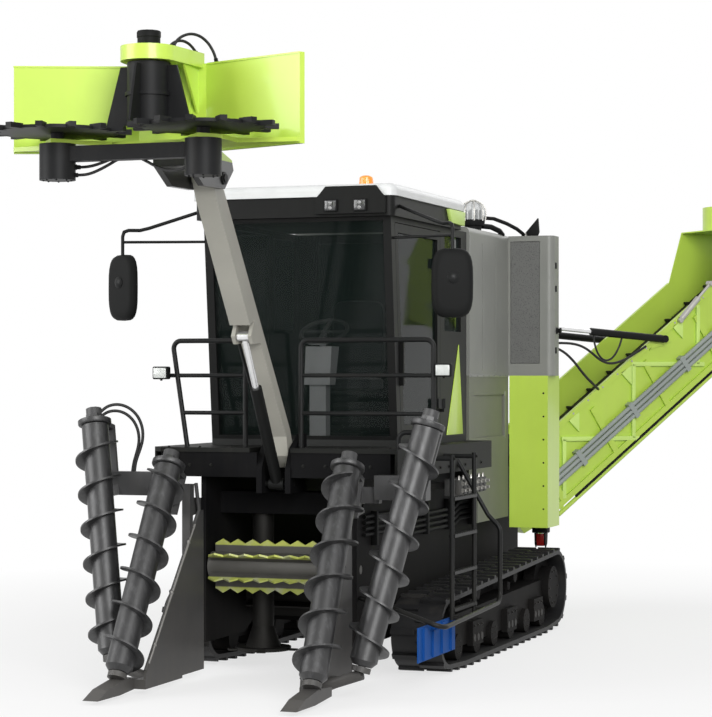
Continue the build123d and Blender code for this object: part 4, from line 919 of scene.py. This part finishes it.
class HARVESTER_OT_hood(bpy.types.Operator):
    """Adds the hood's latches, seams, screens and fin, air cleaner, intake stack and tail lamps"""

    bl_idname = "harvester.hood"
    bl_label = "Hood fittings"

    # The hood's seams lie between these two planes in x; the screens and box bolts face this plane in y
    SEAM_IN = 800
    SEAM_OUT = 804
    BOX_FRONT = 3140
    # Each seam's ends in y and in z
    SEAMS = ((1894, 3136, 2318, 2342), (1894, 1920, 2345, 3540), (3010, 3030, 1765, 2190))
    SMALL_BOLT = 9
    # Feet of the air cleaner and of the intake stack; the rest of both is measured from them
    CLEANER = Vector((300, 2350, 3610))
    INTAKE = Vector((610, 2650, 3610))
    THIN_PIPE = ((90, 60, 130), (150, 150, 128), (230, 290, 92), (290, 420, 50), (315, 540, 12),
                 (318, 580, -12))
    THICK_PIPE = ((60, 80, 60), (110, 200, 58), (150, 330, 30), (160, 400, -4))
    # A cage wire's distances from the stack's axis and heights
    CAGE_WIRE = ((110, 100), (117, 160), (111, 212), (84, 256), (20, 284))
    # Outlines in y and z of a tail lamp's cheek and lens
    LAMP_CHEEK = ((3460, 880), (3560, 880), (3545, 780), (3500, 745), (3470, 780))
    LAMP_LENS = ((3456, 874), (3552, 874), (3532, 758), (3486, 758))

    def panels(self):
        screens = Maker()
        trims = Maker()
        latches = Maker()
        for side in SIDES:
            out = (side, 0, 0)
            screens.box((side * 824, self.BOX_FRONT + 3, 2444), (side * 1091, self.BOX_FRONT + 9, 3546))
            for z in (3330, 3120, 2560):
                latches.box((side * 1216, 3215, z - 28), (side * 1226, 3262, z + 28), 4)
            latches.turned((side * 1218, 3270, 2740), out,
                           [(0, 30), (10, 30), (16, 20), (28, 20), (34, 26), (44, 26)], 20)
            for y0, y1, z0, z1 in self.SEAMS:
                trims.box((side * self.SEAM_IN, y0, z0), (side * self.SEAM_OUT, y1, z1), 1.5)
            for y in range(1950, 3100, 180):
                trims.bolt((side * self.SEAM_OUT, y, 2330), out, self.SMALL_BOLT)
            for z in range(1120, 2300, 210):
                latches.bolt((side * 1130, self.BOX_FRONT, z), FORWARD, self.SMALL_BOLT)
        screens.piece("cooling_screens", "chassis", "screen", "hood_paint")
        trims.piece("hood_seams", "chassis", "hood", "hood_paint")
        latches.piece("hood_latches", "chassis", "plastic", "black_plastic")
        fin = Maker()
        fin.plate_y([(905, 3600), (1045, 3600), (1062, 3640), (1052, 3768), (985, 3690)], 3230, 3270, 4)
        fin.piece("hood_fin", "chassis", "plastic", "black_plastic")

    @staticmethod
    def posts(maker, foot, reach, half, low, high):
        """Eight square posts in a ring, between two heights over the foot."""
        for x, y in spread(8, reach):
            middle = foot + Vector((x, y, 0))
            maker.box(middle + Vector((-half, -half, low)), middle + Vector((half, half, high)), 2)

    def cleaner(self):
        bowl = Maker().turned(self.CLEANER + Vector((0, 0, 30)), UP,
                              [(0, 88), (10, 96), (60, 96), (92, 84), (108, 50), (112, 20)], 32)
        bowl.piece("cleaner_bowl", "chassis", "bowl", "cab_glass")
        works = Maker().turned(self.CLEANER, UP, [(0, 100), (34, 100), (36, 40), (120, 38), (126, 20)], 28)
        self.posts(works, self.CLEANER, 62, 7, 34, 106)
        works.piece("air_cleaner", "chassis", "plastic", "bare_steel", 40, ("exhaust",))

    def intake(self):
        foot = self.INTAKE
        stack = Maker().turned(foot, UP, [(0, 74), (56, 76), (60, 98), (86, 106), (108, 106), (112, 60)], 32)
        self.posts(stack, foot, 70, 8, 108, 200)
        for steps, radius in ((self.THIN_PIPE, 17), (self.THICK_PIPE, 24)):
            stack.path([foot + Vector(step) for step in steps], radius)
        stack.piece("intake_stack", "chassis", "plastic", "bare_steel")
        bowl = Maker().turned(foot + Vector((0, 0, 110)), UP,
                              [(0, 104), (50, 112), (100, 106), (142, 80), (164, 40), (168, 12)], 32)
        bowl.piece("intake_bowl", "chassis", "bowl", "cab_glass")
        cage = Maker()
        for x, y in spread(8, 1.0, 0.5):
            wire = [foot + Vector((x * reach, y * reach, height)) for reach, height in self.CAGE_WIRE]
            cage.path(wire, 5, 8)
        cage.turned(foot + Vector((0, 0, 276)), UP, [(0, 30), (8, 30), (14, 20)], 20)
        cage.turned(foot + Vector((318, 576, -10)), UP, [(0, 30), (10, 30), (12, 24), (30, 24)], 20)
        cage.piece("intake_cage", "chassis", "bright", "bare_steel")

    def tail_lamps(self):
        brackets = Maker()
        red = Maker()
        for side in SIDES:
            brackets.box((side * 938, 3452, 880), (side * 1082, 3566, 948), 8)
            for x in (964, 1056):
                brackets.plate_x(self.LAMP_CHEEK, side * x - 6, side * x + 6, 2)
            red.plate_x(self.LAMP_LENS, side * 974, side * 1046, 8)
        brackets.piece("tail_lamp_brackets", "chassis", "plastic", "black_plastic")
        red.piece("tail_lamps", "chassis", "red_lamp", "amber_lens")

    def execute(self, context):
        self.panels()
        self.cleaner()
        self.intake()
        self.tail_lamps()
        return {"FINISHED"}


class HARVESTER_OT_topper(bpy.types.Operator):
    """Adds the topper's hoses, fittings, drum motor and wing lips, and the boom's caps and pipes"""

    bl_idname = "harvester.topper"
    bl_label = "Topper fittings"

    # Hose routes: over the bracket by distance and height, and under the floor from disc and floor
    HIGH_ARCH = ((0, -12), (16, 28), (46, 68), (92, 97), (150, 112), (215, 100), (272, 62), (313, 6),
                 (332, -42), (341, -80))
    LOW_ARCH = ((0, -12), (24, 20), (56, 46), (98, 64), (146, 70), (194, 61), (236, 38), (268, 10),
                (296, -22))
    MOTOR_ROUTES = (
        ((-425, 20, -205), (-370, 28, -208), (-310, 44, -200), (-245, 62, -172), (-180, 79, -136),
         (-125, 86, -104), (-70, 88, -88)),
        ((425, 20, -170), (370, 28, -188), (305, 40, -196), (235, 52, -190), (165, 62, -165), (100, 70, -132),
         (45, 74, -103), (-10, 76, -86), (-60, 77, -78)),
        ((-425, 56, -150), (-370, 59, -153), (-305, 61, -147), (-240, 60, -131), (-175, 58, -110),
         (-120, 57, -92), (-70, 56, -82)),
    )
    HOSE_END = ((0, 19), (14, 19), (16, 15), (38, 15), (40, 13))
    # A wing lip's near and far edges in plan, on the left
    LIP_NEAR = ((262, -2527), (1052, -2830))
    LIP_FAR = ((254, -2505), (1044, -2808))
    # Corners of a clamp on the boom's pipes, across and behind
    PIPE_CLAMP = ((-62, -20), (62, -20), (62, 20), (-62, 20))

    def hoses(self, sizes):
        """The hoses, then the fittings on their ends and the bolts of motors and bracket."""
        routes = {
            "drum_hose_high": arched((120, DRUM_Y + 110, BRACKET_TOP), (212, 267), self.HIGH_ARCH),
            "drum_hose_low": arched((85, DRUM_Y + 110, BRACKET_TOP), (95, 245), self.LOW_ARCH),
        }
        for i, route in enumerate(self.MOTOR_ROUTES):
            routes[f"motor_hose_{i + 1}"] = [(x, DISC_Y + y, FLOOR_LOW + z) for x, y, z in route]
        fittings = Maker()
        for name, points in routes.items():
            thing = hose(name, points, sizes.hose, "topper")
            if name == "drum_hose_high":
                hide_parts("topper_hoses")
            for end, inner in ((points[0], points[1]), (points[-1], points[-2])):
                fittings.turned(end, Vector(inner) - Vector(end), self.HOSE_END, 6)
        for middle in (-DISC_X, DISC_X):
            for x, y in spread(8, 92, 0.5):
                fittings.bolt((middle + x, DISC_Y + y, MOTOR_LOW), DOWN, 9)
        for x, y in spread(6, 130):
            fittings.bolt((x, DRUM_Y + y, BRACKET_TOP), UP, sizes.bolt)
        fittings.piece("topper_fittings", "topper", "plastic", "dark_paint")

    def head(self):
        motor = Maker().turned((0, DRUM_Y, BRACKET_TOP), UP,
                               [(0, 84), (14, 84), (16, 78), (60, 78), (64, 82), (98, 82), (106, 76)], 12)
        motor.piece("drum_motor", "topper", "plastic", "dark_paint")
        lips = Maker()
        low, high = WING_TOP - 10, WING_TOP + 2
        for side in SIDES:
            lips.prism(*[[(side * x, y, z) for (x, y), z in zip(line + line[::-1], (low, low, high, high))]
                         for line in (self.LIP_NEAR, self.LIP_FAR)])
        lips.piece("wing_lips", "topper", "lime", "lime_paint")

    def boom(self):
        pins = Maker()
        for at in (BOOM_FOOT, BOOM_HEAD):
            for side in SIDES:
                pins.turned(at + Vector((side * 138, 0, 0)), (side, 0, 0),
                            [(0, 46), (12, 46), (14, 30), (22, 30)], 20)
        pins.piece("boom_pin_caps", "topper_boom", "dark", "dark_paint")
        lines = Maker()
        for x in (-38, 0, 38):
            across = Vector((x, 0, 0))
            lines.rod(BOOM_FOOT + BOOM_RUN * 330 + BOOM_BACK * 104 + across,
                      BOOM_FOOT + BOOM_RUN * 2260 + BOOM_BACK * 84 + across, 13, 14)
        for reach in (480, 1000, 1520, 2040):
            mid = BOOM_FOOT + BOOM_RUN * reach + BOOM_BACK * (106 - reach * 0.0104)
            corners = [Vector((x, 0, 0)) + BOOM_BACK * n for x, n in self.PIPE_CLAMP]
            lines.prism(*[[mid + BOOM_RUN * half + corner for corner in corners] for half in (-18, 18)], 4)
        lines.piece("boom_pipes", "topper_boom", "plastic", "black_plastic")

    def execute(self, context):
        self.hoses(context.scene.harvester_sizes)
        self.head()
        self.boom()
        return {"FINISHED"}


class HARVESTER_OT_dividers(bpy.types.Operator):
    """Adds the dividers' bolts, edge trims, scroll motors and hoses"""

    bl_idname = "harvester.dividers"
    bl_label = "Divider fittings"

    # Foot and head of the left side's inner and outer scrolls
    SCROLLS = (
        (Vector((753, -1804, 175)), Vector((722, -996, 1628))),
        (Vector((987, -1415, 250)), Vector((1338, -989, 1943))),
    )
    # The right outer scroll's hoses, set out on the left side: a start, then distances and heights
    SCROLL_ROUTES = (
        ((1318, -963, 2035), ((0, 0), (40, 42), (98, 70), (168, 72), (233, 46), (288, -2), (323, -64),
                              (340, -134), (338, -206), (318, -276), (293, -342), (280, -392), (274, -450))),
        ((1327, -944, 1998), ((0, 0), (40, 38), (96, 60), (160, 58), (218, 32), (266, -14), (296, -72),
                              (310, -136), (308, -201), (292, -263), (274, -322), (264, -370), (259, -415))),
    )
    HOSE_HEADING = (-0.85, 0.5)

    def execute(self, context):
        sizes = context.scene.harvester_sizes
        for side, word in zip(SIDES, ("left", "right")):
            body = f"divider_{word}"
            flip = Matrix.Diagonal((side, 1.0, 1.0, 1.0))
            edge = Maker(flip)
            for i in range(9):
                edge.bolt((620, -1440 + 95 * i, 330 + 109 * i), (1, 0, 0), 10)
            edge.piece(f"{word}_divider_bolts", body, "scroll", "dark_paint")
            trim = Maker(flip).rod((597, -1609, 224), (597, -769, 1189), 9, 9, 2)
            for y, z in ((-1500, 349), (-1190, 705), (-880, 1061)):
                trim.box((590, y - 14, z - 14), (606, y + 14, z + 14), 3)
            trim.piece(f"{word}_divider_trim", body, "steel", "bare_steel")
            caps = Maker(flip)
            for foot, head in self.SCROLLS:
                run = (head - foot).normalized()
                across = run.orthogonal().normalized()
                other = run.cross(across)
                seat = head + run * 46
                caps.turned(head + run * 8, run, [(0, 124), (6, 128), (34, 128), (38, 122)], 32)
                for a, b in spread(8, 92):
                    caps.bolt(seat + across * a + other * b, run, 12)
                caps.turned(seat, run, [(0, 66), (40, 66), (44, 58), (88, 58), (94, 52)], 8)
            caps.piece(f"{word}_scroll_motors", body, "scroll", "dark_paint")
        for i, (start, steps) in enumerate(self.SCROLL_ROUTES):
            points = [(-p.x, p.y, p.z) for p in arched(start, self.HOSE_HEADING, steps)]
            thing = hose(f"scroll_hose_{i + 1}", points, sizes.divider_hose, "divider_right")
            if i == 0:
                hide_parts("divider_hoses")
        return {"FINISHED"}


class HARVESTER_OT_elevator(bpy.types.Operator):
    """Adds the elevator's gussets, grease line, bolts, flap ram and hoses"""

    bl_idname = "harvester.elevator"
    bl_label = "Elevator fittings"

    # Hose routes in the elevator's own frame: from the mast's ear to the wall, and a loop under a ram
    UPPER_ROUTE = (
        (40, -585, 2800), (48, -588, 2745), (100, -592, 2690), (200, -595, 2655), (340, -596, 2640),
        (500, -596, 2645), (660, -596, 2652), (810, -594, 2645), (930, -591, 2610), (1030, -587, 2545),
        (1120, -583, 2480), (1220, -580, 2448), (1340, -574, 2465), (1460, -560, 2512), (1570, -536, 2565),
        (1660, -507, 2606), (1715, -474, 2626))
    LOWER_ROUTE = (
        (20, -585, 2798), (25, -590, 2735), (60, -596, 2670), (150, -600, 2625), (290, -602, 2610),
        (440, -602, 2618), (580, -600, 2612), (700, -596, 2560), (800, -590, 2480), (880, -582, 2395),
        (960, -568, 2318), (1040, -546, 2262), (1105, -515, 2222), (1160, -474, 2196))
    RAM_ROUTE = (
        (1078, -520, 2732), (1080, -520, 2690), (1092, -521, 2630), (1118, -522, 2560), (1160, -523, 2505),
        (1212, -523, 2480), (1268, -523, 2490), (1318, -522, 2530), (1358, -521, 2590), (1386, -520, 2648),
        (1400, -520, 2690), (1404, -520, 2706))
    # The walls' lower edge and their height, and how far out in y their faces and ribs lie
    WALL_FOOT = 475.0
    WALL_SLOPE = 0.7625
    WALL_TALL = 855
    WALL_FACE = 450
    RIB_FACE = 478
    # The flap ram's foot, gland and head, on one plane in y
    RAM_Y = -500
    RAM_FOOT = (2120, RAM_Y, 2900)
    RAM_GLAND = (2330, RAM_Y, 3120)
    RAM_HEAD = (2470, RAM_Y, 3266)
    RAM_PINS = ((2110, 2890), (2475, 3271))

    def low(self, t):
        """Height of the walls' lower edge at a distance along the elevator."""
        return self.WALL_FOOT + self.WALL_SLOPE * t

    def walls(self):
        gussets = Maker(ELEVATOR)
        bolts = Maker(ELEVATOR)
        for side in SIDES:
            for t in (900, 1510, 2120, 2730):
                z = self.low(t) + self.WALL_TALL
                corners = ((t - 90, z - 118), (t + 40, z - 46), (t + 40, z - 240))
                gussets.plate_y(corners, side * self.WALL_FACE, side * self.RIB_FACE, 3)
            bars = [((t0, z - 22), (t1, z + 22)) for z, t0, t1 in ((1707, 740, 1640), (2449, 1552, 2420))]
            bars += [((t - 20, z0), (t + 20, z1))
                     for t, z0, z1 in ((770, 1120, 1707), (1575, 1707, 2449), (2345, 2449, 3050))]
            for (t0, z0), (t1, z1) in bars:
                gussets.box((t0, side * (self.WALL_FACE - 6), z0), (t1, side * (self.RIB_FACE + 2), z1), 4)
            for i in range(12):
                t = 700 + 170 * i
                bolts.bolt((t, side * self.RIB_FACE, self.low(t) + 820), (0, side, 0), 11)
            bolts.turned((350, side * 530, 1000), (0, side, 0), [(0, 44), (10, 44), (12, 26), (16, 26)], 20)
        # The gussets and bars wear the paler lime: a painted highlight against the walls.
        gussets.piece("elevator_gussets", "elevator", "pale_lime_and_painted_highlight", "lime_paint")
        bolts.piece("elevator_bolts", "elevator", "bright", "bare_steel")
        grease = Maker(ELEVATOR)
        grease.rod((900, -470, self.low(900) - 20), (2940, -470, self.low(2940) - 20), 14, 14, 3)
        grease.piece("elevator_grease_line", "elevator", "plastic", "black_plastic")

    def ram(self):
        ram = Maker(ELEVATOR)
        ram.rod(self.RAM_FOOT, self.RAM_GLAND, 30, 20, 6)
        ram.rod(self.RAM_GLAND, self.RAM_HEAD, 14, 14, 2)
        for t, z in self.RAM_PINS:
            ram.rod((t, self.RAM_Y - 30, z), (t, self.RAM_Y + 50, z), 26, 18, 4)
        ram.piece("flap_ram", "elevator", "bright", "bare_steel")

    def execute(self, context):
        sizes = context.scene.harvester_sizes
        self.walls()
        self.ram()
        for name, points in (("lift_hose_upper", self.UPPER_ROUTE), ("lift_hose_lower", self.LOWER_ROUTE)):
            hose(name, points, sizes.lift_hose, "slew", ELEVATOR, "elevator")
        hose("ram_hose", self.RAM_ROUTE, sizes.hose, "lift_barrels", ELEVATOR)
        return {"FINISHED"}


class HARVESTER_OT_chassis(bpy.types.Operator):
    """Adds deck bolts, ladder treads, the valve bank, pipes, track bolts and the track frames' webs"""

    bl_idname = "harvester.chassis"
    bl_label = "Chassis fittings"

    # Rows of deck bolts: x along the front edge's top and face, y along the left edge and by the ladder
    FRONT_TOP = (-880, -620, -360, 260, 520, 780, 930)
    FRONT_FACE = (-880, -700, -520, 240, 420, 600, 780)
    LEFT_EDGE = range(-500, 1800, 230)
    LADDER_HEAD = (-80, 520)
    RUNGS = (525, 810, 1095, 1380)
    RUNG_X = 1250
    # Bolt circles of the track's wheels: x of the face, y, z, radius, count and size of the bolts
    WHEELS = (
        *((1110, 560 + 518 * i, 165, 56, 6, 8) for i in range(6)),
        (1130, 3500, 385, 150, 10, 14),
        (1100, 150, 320, 62, 6, 10),
    )
    # The valve bank: its sections' roots and faces in x, and their middles in y
    VALVE_ROOT = 985
    VALVE_FACE = 1030
    VALVE_ROW = range(910, 1601, 115)
    TRACK_FACE = 1120
    TRACK_CLAMPS = (1078, 2114, 3000)
    # A track frame's web in y and z, and its outer face
    WEB = ((300, 400), (3450, 460), (3450, 652), (300, 536))
    WEB_FACE = 874

    def deck(self, bolt):
        bolts = Maker()
        for x in self.FRONT_TOP:
            bolts.bolt((x, -622, 1775), UP, bolt)
        for x in self.FRONT_FACE:
            bolts.bolt((x, -640, 1640), FORWARD, bolt)
        for y in self.LEFT_EDGE:
            bolts.bolt((1000, y, 1600), (1, 0, 0), bolt)
        for y in self.LADDER_HEAD:
            bolts.bolt((1268, y, 1690), (1, 0, 0), bolt)
        bolts.piece("deck_bolts", "chassis", "deck", "bare_steel")
        treads = Maker()
        for z in self.RUNGS:
            for i in range(9):
                y = -48 + 67 * i
                treads.box((self.RUNG_X - 22, y - 22, z + 12), (self.RUNG_X + 22, y + 22, z + 16), 1.5)
        treads.piece("ladder_treads", "chassis", "rail", "black_paint")

    def valves(self):
        valves = Maker()
        fittings = Maker()
        valves.box((900, 850, 1350), (self.VALVE_ROOT, 1690, 1490), 6)
        for y in self.VALVE_ROW:
            valves.box((self.VALVE_ROOT, y - 34, 1360), (self.VALVE_FACE, y + 34, 1480), 6)
            for z in (1450, 1395):
                fittings.turned((self.VALVE_FACE, y, z), (1, 0, 0),
                                [(0, 18), (12, 18), (14, 13), (34, 13)], 6)
            fittings.turned((1005, y, 1480), UP, [(0, 12), (30, 10), (34, 6)], 8)
        valves.box((640, 1090, 1390), (905, 1150, 1450), 4)
        valves.piece("valve_bank", "chassis", "engine", "engine_iron")
        fittings.piece("valve_fittings", "chassis", "bright", "bare_steel")

    def pipes(self):
        pipes = Maker()
        for k in range(4):
            z = 1250 - 46 * k
            pipes.path([(655, -420, z), (662, 300 + 40 * k, z), (662, 700, z - 60), (662, 1900, z - 60),
                        (662, 2050, z - 20), (655, 2600, z - 20)], 15)
        for y in (-200, 500, 1100, 1700, 2400):
            pipes.box((640, y - 18, 1020), (690, y + 18, 1282), 4)
        pipes.piece("frame_pipes", "chassis", "plastic", "bare_steel")

    def tracks(self, bolt):
        track = Maker()
        webs = Maker()
        for side in SIDES:
            out = (side, 0, 0)
            for x, y, z, radius, count, size in self.WHEELS:
                for a, b in spread(count, radius):
                    track.bolt((side * x, y + a, z + b), out, size)
            for middle in self.TRACK_CLAMPS:
                for y in (middle - 105, middle, middle + 105):
                    track.bolt((side * self.TRACK_FACE, y, 290), out, 14)
                    track.turned((side * self.TRACK_FACE, y, 190), out, [(0, 34), (5, 30)], 18)
            webs.plate_x(self.WEB, side * (self.WEB_FACE - 8), side * self.WEB_FACE, 2)
            for y in range(460, 3300, 350):
                webs.bolt((side * self.WEB_FACE, y, 440 + 0.03 * y), out, bolt)
        track.piece("track_bolts", "chassis", "dark", "dark_paint")
        # The webs wear the frame's near-black paint, painted shade under the deck.
        webs.piece("track_frame_webs", "chassis", "frame", "dark_paint")

    def execute(self, context):
        bolt = context.scene.harvester_sizes.bolt
        self.deck(bolt)
        self.valves()
        self.pipes()
        self.tracks(bolt)
        return {"FINISHED"}


class HARVESTER_PT_panel(bpy.types.Panel):
    """Lists the harvester's colours, sizes and steps"""

    bl_idname = "HARVESTER_PT_panel"
    bl_label = "Harvester"
    bl_space_type = "VIEW_3D"
    bl_region_type = "UI"
    bl_category = "Harvester"

    def draw(self, context):
        for group in (context.scene.harvester_colours, context.scene.harvester_sizes):
            for name in group.__annotations__:
                self.layout.prop(group, name)
        for step in STEPS:
            self.layout.operator(step.bl_idname)


STEPS = (
    HARVESTER_OT_finishes,
    HARVESTER_OT_stage,
    HARVESTER_OT_cab,
    HARVESTER_OT_seat,
    HARVESTER_OT_hood,
    HARVESTER_OT_topper,
    HARVESTER_OT_dividers,
    HARVESTER_OT_elevator,
    HARVESTER_OT_chassis,
)
CLASSES = (HarvesterColours, HarvesterSizes, *STEPS, HARVESTER_PT_panel)


def register():
    for cls in CLASSES:
        bpy.utils.register_class(cls)
    bpy.types.Scene.harvester_colours = PointerProperty(type=HarvesterColours)
    bpy.types.Scene.harvester_sizes = PointerProperty(type=HarvesterSizes)


def unregister():
    del bpy.types.Scene.harvester_sizes
    del bpy.types.Scene.harvester_colours
    for cls in reversed(CLASSES):
        bpy.utils.unregister_class(cls)


def main():
    register()
    bpy.ops.harvester.finishes()
    bpy.ops.harvester.stage()
    bpy.ops.harvester.cab()
    bpy.ops.harvester.seat()
    bpy.ops.harvester.hood()
    bpy.ops.harvester.topper()
    bpy.ops.harvester.dividers()
    bpy.ops.harvester.elevator()
    bpy.ops.harvester.chassis()


if __name__ == "__main__":
    main()
